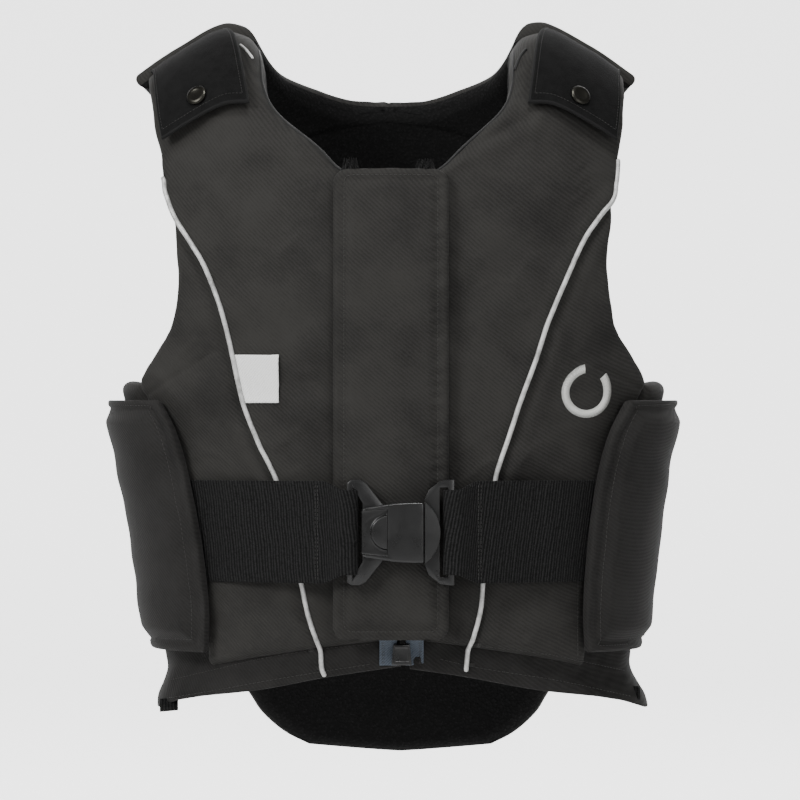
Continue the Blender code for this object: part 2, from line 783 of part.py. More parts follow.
def make_buckle():
    """Side-release buckle, fastened: a socket on the right strap and a plug on the left one."""
    back = front_face(ZIP_OFFSET, PLACKET_FACE + 3 * GAP)
    front = back - BUCKLE_THICKNESS
    middle_z = -ELASTIC_TOP - ELASTIC_WIDTH / 2
    seam = SOCKET_BAR_X + BUCKLE_BAR / 2 + BUCKLE_SLOT + BUCKLE_BODY_LENGTH
    body_left = seam - BUCKLE_BODY_LENGTH
    half = BUCKLE_BODY_HEIGHT / 2
    tall = BUCKLE_FRAME_HEIGHT / 2
    depth = bar_depth(SOCKET_BAR_X)

    # Socket: a frame with the strap's bar, and the hollow body with its thumb recess
    bar_left = SOCKET_BAR_X - BUCKLE_BAR / 2
    slot_left = SOCKET_BAR_X + BUCKLE_BAR / 2
    inner = tall - BUCKLE_ARM
    rim = mirrored([
        (bar_left, tall - 0.004), (bar_left + 0.004, tall), (body_left + 0.002, tall),
        (body_left + 0.008, tall - 0.005), (body_left + 0.016, half),
        (body_left + 0.024, half - 0.003),
    ])
    slot = mirrored([
        (slot_left, inner), (slot_left + 0.004, inner),
        (body_left + 0.0002, half - 0.004),
    ])
    socket = flat_outline("buckle_socket", [rim, slot], BUCKLE_FRAME_THICKNESS, (0, depth, middle_z))
    body = add_box(
        "socket_body", (body_left, front, middle_z - half), (seam, back, middle_z + half))
    round_edges(body, BUCKLE_EDGE)
    combine(socket, body, "UNION")
    centre = (front + back) / 2
    reach = PLUG_TONGUE_LENGTH + GAP
    hollow_half = half - 0.004
    hollow = add_box(
        "socket_hollow",
        (seam - reach, centre - PLUG_TONGUE_THICKNESS / 2 - GAP, middle_z - hollow_half),
        (seam + 0.01, centre + PLUG_TONGUE_THICKNESS / 2 + GAP, middle_z + hollow_half))
    combine(socket, hollow, "DIFFERENCE")
    recess_right = body_left + 0.0010 + RECESS_LENGTH
    recess = add_box(
        "thumb_recess",
        (body_left + 0.0010, front - 0.01, middle_z - RECESS_HEIGHT / 2),
        (recess_right, front + RECESS_DEPTH, middle_z + RECESS_HEIGHT / 2))
    bpy.ops.mesh.primitive_cylinder_add(
        vertices=28, radius=THUMB_RADIUS, depth=0.04,
        location=(recess_right, front, middle_z), rotation=(math.pi / 2, 0, 0))
    thumb = keep_as_cutter(bpy.context.active_object)
    thumb.name = "thumb_tongue"
    combine(recess, thumb, "DIFFERENCE")
    combine(socket, recess, "DIFFERENCE")

    # Plug: a frame with the strap's bar, a half-moon base and a tongue inside the socket
    near = seam + GAP
    base = near + PLUG_BASE_LENGTH
    bar_right = PLUG_BAR_X + BUCKLE_BAR / 2
    slot_right = PLUG_BAR_X - BUCKLE_BAR / 2
    rim = mirrored([
        (near, half - 0.001), (near + 0.002, half + 0.006), (near + 0.006, half + 0.0115),
        (near + 0.012, tall), (bar_right - 0.003, tall), (bar_right, tall - 0.003),
    ])
    slot = mirrored([
        (base + 0.0006, 0.012), (base - 0.0006, inner - 0.006), (base - 0.0002, inner - 0.0012),
        (base + 0.0010, inner), (slot_right, inner),
    ])
    plug = flat_outline(
        "buckle_plug", [rim, slot], BUCKLE_FRAME_THICKNESS, (0, bar_depth(PLUG_BAR_X), middle_z))
    bpy.ops.mesh.primitive_cylinder_add(
        vertices=48, radius=half + 0.004, depth=BUCKLE_THICKNESS - 0.0016,
        location=(base - half - 0.004, centre, middle_z), rotation=(math.pi / 2, 0, 0))
    moon = keep_as_cutter(bpy.context.active_object)
    moon.name = "plug_base"
    beside = add_box("beside_plug_base", (near - 0.08, front - 0.01, middle_z - 0.05),
                     (near, back + 0.01, middle_z + 0.05))
    combine(moon, beside, "DIFFERENCE")
    tongue = add_box(
        "plug_tongue",
        (near - PLUG_TONGUE_LENGTH + GAP, centre - PLUG_TONGUE_THICKNESS / 2,
         middle_z - hollow_half + GAP),
        (near + 0.002, centre + PLUG_TONGUE_THICKNESS / 2, middle_z + hollow_half - GAP))
    combine(plug, moon, "UNION")
    combine(plug, tongue, "UNION")


for old in list(bpy.data.objects):
    bpy.data.objects.remove(old, do_unlink=True)

parts = bpy.data.collections.new("equestrian_body_protector")
cutters = bpy.data.collections.new("cutters")
bpy.context.scene.collection.children.link(parts)
bpy.context.scene.collection.children.link(cutters)

shell = make_material("charcoal_twill", (0.030, 0.029, 0.028), 0.85)
lining = make_material("black_knit", (0.008, 0.008, 0.009), 0.95)
pile = make_material("black_pile", (0.010, 0.010, 0.010), 0.95)
elastic = make_material("black_elastic", (0.012, 0.012, 0.012), 0.80)
plastic = make_material("black_acetal", (0.012, 0.012, 0.013), 0.35)
reflective = make_material("silver_piping", (0.62, 0.62, 0.62), 0.45)
label = make_material("white_tab", (0.80, 0.80, 0.80), 0.80)
tape = make_material("grey_tape", (0.10, 0.13, 0.17), 0.80)
teeth = make_material("black_teeth", (0.015, 0.015, 0.015), 0.45)

make_back()
make_lining()
make_fronts()
make_hem_bands()
make_sides()
make_wings()
make_flaps()
make_zip()
make_placket()
make_piping()
make_label()
make_elastic(-1, "waist_elastic_right", SOCKET_BAR_X)
make_elastic(1, "waist_elastic_left", PLUG_BAR_X)
make_buckle()
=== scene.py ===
"""Equestrian body protector: a child's padded front-zip vest, as worn with nobody in it.

Metres, +Z up, the front faces -Y, left and right are the wearer's. The origin is between the shoulders.
"""
import math

import bmesh
import bpy
import numpy as np
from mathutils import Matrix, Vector
from mathutils.bvhtree import BVHTree
from mathutils.kdtree import KDTree


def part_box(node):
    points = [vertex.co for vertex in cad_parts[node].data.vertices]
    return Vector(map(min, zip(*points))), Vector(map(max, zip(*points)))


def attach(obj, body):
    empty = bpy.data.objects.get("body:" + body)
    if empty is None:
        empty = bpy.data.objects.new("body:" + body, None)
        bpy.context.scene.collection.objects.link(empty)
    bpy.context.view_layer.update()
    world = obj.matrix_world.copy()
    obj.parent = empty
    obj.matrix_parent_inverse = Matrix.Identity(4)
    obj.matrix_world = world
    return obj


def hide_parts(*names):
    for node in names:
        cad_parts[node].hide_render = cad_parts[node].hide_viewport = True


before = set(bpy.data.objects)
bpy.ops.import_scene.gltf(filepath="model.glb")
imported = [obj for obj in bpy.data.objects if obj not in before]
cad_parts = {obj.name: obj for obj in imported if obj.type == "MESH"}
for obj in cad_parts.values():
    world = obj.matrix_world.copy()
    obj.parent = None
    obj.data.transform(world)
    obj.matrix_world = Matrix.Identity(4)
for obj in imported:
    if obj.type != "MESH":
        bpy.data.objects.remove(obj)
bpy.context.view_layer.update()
bpy.ops.object.select_all(action="DESELECT")


# Studio: a pale paper sweep under and behind the vest, lit by wide soft lamps from both sides and above.
# The camera is level with the middle of the vest, far enough off to see it with little perspective.
CAMERA_DISTANCE = 3.2
SENSOR = 36
PICTURE = 800
PIXEL = 0.0007
FRONT_PLANE = -0.118
EYE_LEVEL = -0.244
EYE_ACROSS = 7 * PIXEL


def to_linear(code):
    """Linear colour of an sRGB hex code such as 3a3a39."""
    parts = [int(code[i:i + 2], 16) / 255 for i in (0, 2, 4)]
    return tuple(p / 12.92 if p <= 0.04045 else ((p + 0.055) / 1.055) ** 2.4 for p in parts)


def node(material, kind, place, links=(), stops=(), **settings):
    """Adds a node: its settings, then values or links for its inputs by name or number.

    stops are places and colours for a ramp of two colours.
    """
    made = material.node_tree.nodes.new(kind)
    made.location = place
    for key, value in settings.items():
        setattr(made, key, value)
    for key, value in dict(links).items():
        socket = made.inputs[key]
        if isinstance(value, bpy.types.NodeSocket):
            material.node_tree.links.new(value, socket)
        else:
            socket.default_value = value
    for i, (spot, code) in enumerate(stops):
        made.color_ramp.elements[i].position = spot
        made.color_ramp.elements[i].color = (*to_linear(code), 1)
    return made


def new_material(name, colour, roughness, **shader_values):
    """Material with its even values set straight on the shader."""
    material = bpy.data.materials.new(name)
    material.use_nodes = True
    shader = material.node_tree.nodes["Principled BSDF"]
    shader.inputs["Base Color"].default_value = (*to_linear(colour), 1)
    shader.inputs["Roughness"].default_value = roughness
    for key, value in shader_values.items():
        shader.inputs[key.replace("_", " ")].default_value = value
    material.diffuse_color = (*to_linear(colour), 1)
    return material, shader


def linked(material, shader, **sources):
    """Links outputs of nodes to the shader's inputs, and gives the material back."""
    for key, source in sources.items():
        material.node_tree.links.new(source.outputs[0], shader.inputs[key.replace("_", " ")])
    return material


camera = bpy.data.objects.new("camera", bpy.data.cameras.new("camera"))
bpy.context.scene.collection.objects.link(camera)
camera.location = (EYE_ACROSS, FRONT_PLANE - CAMERA_DISTANCE, EYE_LEVEL)
camera.rotation_euler = (math.pi / 2, 0, 0)
camera.data.sensor_width = SENSOR
camera.data.lens = SENSOR * CAMERA_DISTANCE / (PICTURE * PIXEL)
bpy.context.scene.camera = camera

sweep_profile = [(-6.0, -0.95), (4.4, -0.95), (4.9, -0.91), (5.3, -0.78), (5.5, -0.4), (5.6, 0.2), (5.6, 4.0)]
sweep = bpy.data.meshes.new("paper_sweep")
sweep.from_pydata(
    [(x, y, z) for y, z in sweep_profile for x in (-6, 6)], [],
    [(2 * i, 2 * i + 1, 2 * i + 3, 2 * i + 2) for i in range(len(sweep_profile) - 1)])
sweep.polygons.foreach_set("use_smooth", [True] * len(sweep.polygons))
floor = bpy.data.objects.new("paper_sweep", sweep)
bpy.context.scene.collection.objects.link(floor)
# Matt white paper: no gloss, and a little glow so that it stays pale round a black thing
for name, glow in (("paper matt white", 0.10), ("paper matt white lit from behind", 2.2)):
    paper, _ = new_material(name, "f6f6f6", 0.9, Emission_Color=(1, 1, 1, 1), Emission_Strength=glow)
    sweep.materials.append(paper)
sweep.polygons.foreach_set("material_index", [0, 1, 1, 1, 1, 1])

world = bpy.data.worlds.new("studio")
world.use_nodes = True
world.node_tree.nodes["Background"].inputs["Color"].default_value = (1, 1, 1, 1)
world.node_tree.nodes["Background"].inputs["Strength"].default_value = 0.34
bpy.context.scene.world = world
LAMPS = (
    ("key lamp", (-1.7, -1.7, 1.0), 0.9, 52),
    ("fill lamp", (1.3, -2.4, 0.4), 1.2, 15),
    ("top lamp", (0.1, -1.0, 1.8), 0.6, 30),
    ("back lamp", (0.3, 1.4, 1.2), 1.2, 12),
)
for name, place, width, power in LAMPS:
    lamp = bpy.data.lights.new(name, "AREA")
    lamp.size = width
    lamp.energy = power
    holder = bpy.data.objects.new(name, lamp)
    bpy.context.scene.collection.objects.link(holder)
    holder.location = place
    holder.rotation_euler = (Vector((0, 0, -0.25)) - Vector(place)).to_track_quat("-Z", "Y").to_euler()


# Back: one closed-cell foam pad in a charcoal twill shell, with both shoulder straps and a rounded tail.
# The shell is sewn inside out round the foam, so its rims are full and round and no thread shows on them.
HALF_WIDTH = 0.165
FRONT_DEPTH = 0.100
BACK_DEPTH = 0.088
CHEST_DROP = 0.1615
TRUNK_LENGTH = 0.271
SHOULDER_FALL = 0.037
SIDE_SQUARENESS = 2.4
SHOULDER_SQUARENESS = 2.2
SLOPE_ALLOWANCE = 1.17
FOAM = 0.018
STRAP_LIFT = 0.008
CELL = 0.0026
RIM_REACH = 0.009
RIM_EASE = 1 - np.cos(np.linspace(0, np.pi / 2, 7))[:-1]

# Sections of the wearer: level, then shares for half width, front depth, back depth and sway
SECTIONS = np.array([
    (1.00, 1.15, 1.00, 1.00, -0.034), (0.50, 1.15, 1.00, 1.00, -0.020), (0.00, 1.15, 1.00, 1.00, 0.000),
    (-0.28, 1.08, 1.00, 0.98, 0.000), (-0.50, 1.00, 1.00, 0.93, 0.000), (-0.75, 0.94, 0.99, 0.89, 0.010),
    (-0.95, 0.90, 0.98, 0.88, 0.015), (-1.02, 0.905, 0.98, 0.88, 0.017), (-1.10, 0.985, 0.985, 0.92, 0.022),
    (-1.35, 1.04, 1.00, 0.98, 0.035),
])
SHOULDER_LINE = np.array([
    (0.000, -0.20), (0.300, -0.10), (0.500, 0.20), (0.600, 0.06), (0.715, 0.00), (0.910, 0.45),
    (1.090, 1.00), (1.300, 1.60),
])

# Rows of the back: level and across of its centre or neck side, level and across of its arm side
BACK_ROWS = np.array([
    (-1.270, 0.00, -1.250, 0.380), (-1.235, 0.00, -1.215, 0.480), (-1.190, 0.00, -1.160, 0.575),
    (-1.130, 0.00, -1.100, 0.645), (-1.060, 0.00, -1.045, 0.750), (-0.980, 0.00, -1.000, 0.880),
    (-0.860, 0.00, -0.880, 0.885), (-0.700, 0.00, -0.710, 0.885), (-0.540, 0.00, -0.550, 0.885),
    (-0.380, 0.00, -0.400, 0.890), (-0.220, 0.00, -0.290, 0.912), (-0.080, 0.00, -0.200, 0.873),
    (0.060, 0.00, -0.100, 0.785), (0.190, 0.00, 0.020, 0.750), (0.310, 0.00, 0.140, 0.755),
    (0.420, 0.00, 0.270, 0.776), (0.520, 0.00, 0.390, 0.790), (0.535, 0.14, 0.500, 0.812),
    (0.590, 0.26, 0.610, 0.828), (0.690, 0.355, 0.720, 0.840), (0.800, 0.410, 0.830, 0.850),
    (0.900, 0.440, 0.920, 0.857), (1.000, 0.452, 1.000, 0.862),
])
BACK_JOIN = 16


def smooth_step(value, low, high):
    share = np.clip((value - low) / (high - low), 0, 1)
    return share * share * (3 - 2 * share)


def read(table, column, at):
    """Smooth value of a table's column at places along its first column."""
    table = table[np.argsort(table[:, 0])]
    places, values = table[:, 0], table[:, column]
    before = np.maximum(np.arange(len(places)) - 1, 0)
    after = np.minimum(np.arange(len(places)) + 1, len(places) - 1)
    slopes = (values[after] - values[before]) / (places[after] - places[before])
    at = np.clip(at, places[0], places[-1])
    i = np.clip(np.searchsorted(places, at, side="right") - 1, 0, len(places) - 2)
    span = places[i + 1] - places[i]
    t = (at - places[i]) / span
    start = (2 * t**3 - 3 * t**2 + 1) * values[i] + (t**3 - 2 * t**2 + t) * span * slopes[i]
    end = (3 * t**2 - 2 * t**3) * values[i + 1] + (t**3 - t**2) * span * slopes[i + 1]
    return start + end


def turn_of(across):
    """Turn in degrees from centre front or back that gives a share across the half width."""
    across = np.clip(across, -1, 1)
    return np.degrees(np.arcsin(np.sign(across) * np.abs(across) ** (SIDE_SQUARENESS / 2)))


def form(side, turn, level, stand):
    """Points over the wearer's form, at a turn from the front, a level and a stand out from the body."""
    side, turn, level, stand = np.broadcast_arrays(side, turn, level, stand)
    angle = np.radians(turn)
    across = np.sin(angle)
    along = np.cos(angle)
    out = (HALF_WIDTH * read(SECTIONS, 1, level) + stand) * np.sign(across) * np.abs(across) ** (2 / SIDE_SQUARENESS)
    deep = np.sign(along) * np.abs(along) ** (2 / SIDE_SQUARENESS)
    lean = np.radians(90 * np.clip(level, 0, 1))
    rise = np.sin(lean) ** (2 / SHOULDER_SQUARENESS)
    over = np.clip(np.cos(lean), 0, 1) ** (2 / SHOULDER_SQUARENESS)
    shoulder = -SHOULDER_FALL * read(SHOULDER_LINE, 1, np.abs(out) / HALF_WIDTH)
    upper = -CHEST_DROP + (shoulder + stand * SLOPE_ALLOWANCE + CHEST_DROP) * rise
    z = np.where(level > 0, upper, -CHEST_DROP + level * TRUNK_LENGTH)
    front = FRONT_DEPTH * read(SECTIONS, 2, level) + stand
    back = BACK_DEPTH * read(SECTIONS, 3, level) + stand
    sway = HALF_WIDTH * read(SECTIONS, 4, level)
    return np.stack([side * out + sway, -np.where(turn < 90, front, back) * deep * over, z], axis=-1)


def row_value(rows, column, at, corner=None):
    """Smooth value of a column at places counted in rows. The line may turn sharply at a corner row."""
    table = np.column_stack([np.arange(len(rows)), rows[:, column]])
    if corner is None:
        return read(table, 1, at)
    return np.where(at < corner, read(table[:corner + 1], 1, at), read(table[corner:], 1, at))


def close_rows(point, count, cell):
    """Places along a table of rows, close enough that no edge has steps longer than a cell."""
    fine = np.linspace(0, count - 1, 40 * (count - 1) + 1)
    longest = 0
    for share in (0.0, 1.0):
        edge = point(np.full_like(fine, share), fine)
        longest = np.maximum(longest, np.linalg.norm(np.diff(edge, axis=0), axis=1))
    run = np.concatenate([[0], np.cumsum(longest)])
    ease = RIM_REACH * RIM_EASE
    even = np.linspace(RIM_REACH, run[-1] - RIM_REACH, int((run[-1] - 2 * RIM_REACH) / cell) + 2)
    return np.interp(np.concatenate([ease, even, run[-1] - ease[::-1]]), run, fine)


def close_columns(width, count):
    """Shares of a row, drawn together over its round rims."""
    rim = np.minimum(RIM_REACH, width * 0.3)[:, None]
    even = rim + (width[:, None] - 2 * rim) * np.linspace(0, 1, count)[None, :]
    rows = [rim * RIM_EASE, even, width[:, None] - (rim * RIM_EASE)[:, ::-1]]
    return np.concatenate(rows, axis=1) / width[:, None]


def ripple(x, z, seed, size):
    """Slow uneven swelling, as of cloth over foam: a few crossed waves, about 1 high."""
    made = 0
    for k in range(5):
        angle = seed * 1.7 + k * 2.399
        wave = size * (0.6 + 0.23 * k)
        made = made + np.sin((x * math.cos(angle) + z * math.sin(angle)) / wave * math.tau + seed * 3.1 + k * 1.3)
    return made / 3


def nearest(points, targets):
    """Distance from each point to the nearest of a set of target points."""
    tree = KDTree(len(targets))
    for i, target in enumerate(targets):
        tree.insert(target, i)
    tree.balance()
    flat = points.reshape(-1, 3)
    return np.array([tree.find(point)[2] for point in flat]).reshape(points.shape[:-1])


def mesh_of(name, points, faces, uvs=None, slots=None, materials=(), rim=None):
    """Piece at the origin from points, faces, a UV for each point and a material slot for each face.

    rim is each point's distance from the edge of the cloth, which the pile material reads to colour its bound edge.
    """
    mesh = bpy.data.meshes.new(name)
    mesh.from_pydata([tuple(p) for p in np.asarray(points, float)], [], [tuple(int(i) for i in f) for f in faces])
    if uvs is not None:
        loops = np.empty(len(mesh.loops), np.int32)
        mesh.loops.foreach_get("vertex_index", loops)
        mesh.uv_layers.new(name="cloth").data.foreach_set("uv", np.asarray(uvs, np.float32)[loops].ravel())
    for material in materials:
        mesh.materials.append(material)
    if slots is not None:
        mesh.polygons.foreach_set("material_index", np.asarray(slots, np.int32))
    if rim is not None:
        mesh.attributes.new("rim", "FLOAT", "POINT").data.foreach_set("value", np.asarray(rim, np.float32))
    mesh.polygons.foreach_set("use_smooth", [True] * len(mesh.polygons))
    mesh.update()
    piece = bpy.data.objects.new(name, mesh)
    bpy.context.scene.collection.objects.link(piece)
    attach(piece, "root")
    return piece


def faced_out(piece, weld=0):
    """Turns the faces of a closed piece outwards, once points nearer than weld are merged."""
    shape = bmesh.new()
    shape.from_mesh(piece.data)
    if weld:
        bmesh.ops.remove_doubles(shape, verts=shape.verts, dist=weld)
    bmesh.ops.recalc_face_normals(shape, faces=shape.faces)
    shape.to_mesh(piece.data)
    shape.free()
    return piece


def pad(name, halves, materials):
    """Closed pad from grids of outer and inner points that meet at the rims.

    Each half is (outer, inner, uv, rim): arrays of rows and columns. Halves that meet are welded.
    """
    points, faces, uvs, slots, rims = [], [], [], [], []
    for outer, inner, uv, rim in halves:
        rows, columns = outer.shape[:2]
        for layer, (face, slot) in enumerate(((outer, 0), (inner, 1))):
            base = len(points)
            points.extend(face.reshape(-1, 3))
            uvs.extend(uv.reshape(-1, 2))
            rims.extend(rim.reshape(-1))
            index = base + np.arange(rows * columns).reshape(rows, columns)
            quads = np.stack([index[:-1, :-1], index[:-1, 1:], index[1:, 1:], index[1:, :-1]], -1).reshape(-1, 4)
            faces.extend(quads if layer == 0 else quads[:, ::-1])
            slots.extend([slot] * len(quads))
    return faced_out(mesh_of(name, points, faces, uvs, slots, materials, rims), weld=0.00002)


def round_rim(distance, rim):
    """Share of the full thickness at a distance in from a rim: a quarter round."""
    return np.sqrt(np.clip(1 - (1 - np.minimum(distance, rim) / rim) ** 2, 0, 1))


def twill(name, colour, shade, pitch=0.0021):
    """Woven polyester twill, matt: slanting ribs, and small changes of shade from yarn to yarn.

    The real ribs are 0.6 mm apart and too fine to show, so they are drawn 2.1 mm apart.
    """
    material, shader = new_material(name, colour, 0.82, Specular_IOR_Level=0.22, Sheen_Weight=0.025,
                                    Sheen_Roughness=0.5)
    place = node(material, "ShaderNodeTexCoord", (-1500, 0))
    turned = node(material, "ShaderNodeMapping", (-1300, 0), {
        0: place.outputs["Object"], "Rotation": (0, math.radians(50), math.radians(24))})
    ribs = node(material, "ShaderNodeTexWave", (-1050, 150), {
        "Vector": turned.outputs[0], "Scale": 0.314 / pitch, "Distortion": 1.2, "Detail": 2.0,
        "Detail Scale": 3.0}, wave_type="BANDS", bands_direction="X")
    yarn = node(material, "ShaderNodeTexNoise", (-1050, -150), {
        "Vector": place.outputs["Object"], "Scale": 900.0, "Detail": 3.0, "Roughness": 0.6})
    cloud = node(material, "ShaderNodeTexNoise", (-1050, -400), {
        "Vector": place.outputs["Object"], "Scale": 22.0, "Detail": 4.0, "Roughness": 0.55})
    height = node(material, "ShaderNodeMath", (-800, 50), {0: ribs.outputs[1], 1: yarn.outputs[0]}, operation="ADD")
    grain = node(material, "ShaderNodeMath", (-800, -200), {0: yarn.outputs[0], 1: 0.5, 2: cloud.outputs[0]},
                 operation="MULTIPLY_ADD")
    tone = node(material, "ShaderNodeMath", (-620, -100), {0: ribs.outputs[1], 1: 0.22, 2: grain.outputs[0]},
                operation="MULTIPLY_ADD")
    ramp = node(material, "ShaderNodeValToRGB", (-430, -50), {0: tone.outputs[0]},
                stops=((0.55, shade), (1.0, colour)))
    bump = node(material, "ShaderNodeBump", (-250, -300), {
        "Strength": 0.5, "Distance": 0.00025, "Height": height.outputs[0]})
    return linked(material, shader, Base_Color=ramp, Normal=bump)


def knit(name, colour, shade, loop=0.0022):
    """Brushed terry knit, deep matt black: small uneven loops that swallow the light.

    The real loops are about a millimetre and are drawn twice as large.
    """
    material, shader = new_material(name, colour, 0.95, Specular_IOR_Level=0.08, Sheen_Weight=0.02,
                                    Sheen_Roughness=0.6)
    place = node(material, "ShaderNodeTexCoord", (-1200, 0))
    loops = node(material, "ShaderNodeTexVoronoi", (-950, 100), {"Vector": place.outputs["Object"], "Scale": 1 / loop})
    fuzz = node(material, "ShaderNodeTexNoise", (-950, -200), {
        "Vector": place.outputs["Object"], "Scale": 700.0, "Detail": 4.0})
    height = node(material, "ShaderNodeMath", (-700, 0), {0: loops.outputs[0], 1: -1.0, 2: fuzz.outputs[0]},
                  operation="MULTIPLY_ADD")
    ramp = node(material, "ShaderNodeValToRGB", (-450, 0), {0: height.outputs[0]},
                stops=((0.0, shade), (0.6, colour)))
    bump = node(material, "ShaderNodeBump", (-250, -250), {
        "Strength": 0.8, "Distance": 0.0006, "Height": height.outputs[0]})
    return linked(material, shader, Base_Color=ramp, Normal=bump)


shell_cloth = twill("polyester twill woven charcoal", "2b2a28", "181716")
lining_cloth = knit("polyester knit brushed black", "202020", "141414")


def back_point(side):
    """Points over one half of the back: a share from the centre or neck to the arm, and a place in rows."""
    def place(share, at, stand=FOAM / 2):
        near = turn_of(row_value(BACK_ROWS, 1, at, BACK_JOIN))
        far = turn_of(row_value(BACK_ROWS, 3, at))
        near_level, far_level = row_value(BACK_ROWS, 0, at, BACK_JOIN), row_value(BACK_ROWS, 2, at)
        level = near_level + (far_level - near_level) * share
        raised = stand + STRAP_LIFT * smooth_step(level, 0.72, 0.97)
        return form(side, 180 - (near + (far - near) * share), level, raised)
    return place


def grid_of(point, count, columns, cell, keep=None):
    """Shares, row places, and metres across and along, for a grid over a table of rows.

    keep is a row that the grid meets exactly, where two halves part.
    """
    at = close_rows(point, count, cell)
    if keep is not None:
        at = np.sort(np.append(at[np.abs(at - keep) > 0.03], keep))
    probe = np.linspace(0, 1, 17)
    lines = point(probe[None, :], at[:, None])
    width = np.linalg.norm(np.diff(lines, axis=1), axis=2).sum(1)
    share = close_columns(width, columns)
    at = np.repeat(at[:, None], share.shape[1], axis=1)
    middle = point(share, at)
    across = np.cumsum(np.linalg.norm(np.diff(middle, axis=1, prepend=middle[:, :1]), axis=2), axis=1)
    along = np.cumsum(np.linalg.norm(np.diff(middle, axis=0, prepend=middle[:1]), axis=2), axis=0)
    return share, at, middle, np.stack([across, along], -1)


def cushion(name, points, count, columns, cell, thick, rim, materials, relief=None, body=None, join=None):
    """Closed pad over tables of rows: one half or two, with round rims and relief on its outer face.

    relief gives metres of relief from a point's x and z. body gives a share of the thickness from the
    distance to the rim. join says from which row on the near edge is a rim, where the halves are one below it.
    """
    made = []
    for point in points:
        share, at, middle, uv = grid_of(point, count, columns, cell, join)
        near = middle[:, 0] if join is None else middle[at[:, 0] >= join][:, 0]
        edge = nearest(middle, np.concatenate([middle[0], middle[-1], middle[:, -1], near]))
        swell = round_rim(edge, rim)
        full = swell if body is None else swell * body(edge)
        lift = relief(middle[..., 0], middle[..., 2]) * swell if relief else 0
        outer = point(share, at, thick * full / 2 + thick / 2 + lift)
        inner = point(share, at, thick / 2 - thick * swell / 2)
        uv[..., 0] *= np.sign(middle[0, -1, 0] - middle[0, 0, 0])
        made.append((outer, inner, uv, edge))
    return pad(name, made, materials)


def back_relief(x, z):
    return 0.0010 * ripple(x, z, 2.0, 0.085)


back = cushion("back_pad", [back_point(1), back_point(-1)], len(BACK_ROWS), 62, CELL, FOAM, 0.0085,
               (shell_cloth, lining_cloth), relief=back_relief, join=BACK_JOIN)
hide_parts("back_panel")


# Back lining: brushed black knit sewn to the inner face of the back, from the neck down to the waist.
# It is one thin cloth, cut short of the rims, and lies flat on the foam.
LINING = 0.0012
LINING_LIE = 0.0011
LINING_ROWS = BACK_ROWS[6:17]


def lining_point(side):
    def place(share, at, stand=-LINING_LIE - LINING / 2):
        near_level, far_level = row_value(LINING_ROWS, 0, at), row_value(LINING_ROWS, 2, at)
        far = turn_of(row_value(LINING_ROWS, 3, at)) * 0.93
        level = near_level + (far_level - near_level) * share
        return form(side, 180 - far * share, level - 0.012 * smooth_step(at, 8, 10), stand)
    return place


made = []
for side in (1, -1):
    point = lining_point(side)
    share, at, middle, uv = grid_of(point, len(LINING_ROWS), 30, 0.005)
    fuzz = 0.0003 * ripple(middle[..., 0], middle[..., 2], 5.0, 0.03)
    outer = point(share, at, -0.0012)
    inner = point(share, at, -LINING_LIE - LINING + fuzz * 0.8)
    made.append((outer, inner, uv, np.zeros_like(share)))
back_lining = pad("back_lining_knit", made, (lining_cloth, lining_cloth))
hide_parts("back_lining")


# Fronts: two foam pads in the same twill, open down the middle at the zip and joined to the straps above.
# Each is sewn of two cloths along the curved seam that takes the piping, so the foam dips along it.
ZIP_OFFSET = 0.006
CHAIN_WIDTH = 0.0055
GAP = 0.0003
FRONT_ROWS = np.array([
    (-0.925, 0.00, -1.000, 0.820), (-0.840, 0.00, -0.900, 0.840), (-0.720, 0.00, -0.760, 0.850),
    (-0.580, 0.00, -0.610, 0.860), (-0.430, 0.00, -0.460, 0.870), (-0.290, 0.00, -0.340, 0.892),
    (-0.170, 0.00, -0.262, 0.925), (-0.060, 0.00, -0.190, 0.868), (0.050, 0.00, -0.100, 0.780),
    (0.160, 0.00, 0.020, 0.748), (0.246, 0.00, 0.140, 0.755), (0.256, 0.150, 0.270, 0.783),
    (0.318, 0.230, 0.380, 0.800), (0.405, 0.325, 0.490, 0.820), (0.500, 0.398, 0.600, 0.830),
    (0.600, 0.432, 0.680, 0.836), (0.740, 0.440, 0.755, 0.840), (0.820, 0.445, 0.830, 0.842),
    (0.880, 0.448, 0.885, 0.844), (0.930, 0.450, 0.930, 0.845), (0.998, 0.450, 0.998, 0.845),
])
NECK_CORNER = 10
# Seams as seen from the front, in millimetres across and up
PIPING_LINES = {
    -1: [(-164, -86), (-154.8, -112.6), (-143.7, -130.7), (-132.8, -148.7), (-120.5, -180.6), (-113.3, -208.8),
         (-105.5, -244), (-94.8, -272.1), (-81.4, -300.1), (-70.8, -342.2), (-63.1, -375.8), (-58.2, -398.2),
         (-51.1, -419.1), (-49.7, -434.5), (-47.6, -438)],
    1: [(167, -72.7), (161.6, -94.5), (146.6, -112.9), (134.2, -131), (121.2, -159.4), (109.1, -187.7),
        (99.8, -215.9), (89.2, -244), (80, -272.1), (71.5, -298.7), (65.9, -342.1), (62.4, -373.7),
        (61, -391.2), (55.4, -412.2), (52.5, -419.1), (51.1, -435.2)],
}
FOAM_SEAMS = (
    [(-134.2, -371.1), (-134.2, -429.8)], [(130.6, -367.5), (130.6, -427.5)],
    [(-170.1, -242.6), (-143.7, -224.9), (-120, -209)], [(172, -238), (146, -224), (112, -212)],
)
NECK_CREASE = [(36, -78), (52, -69.5), (64.5, -63.9), (89.2, -54.4)]


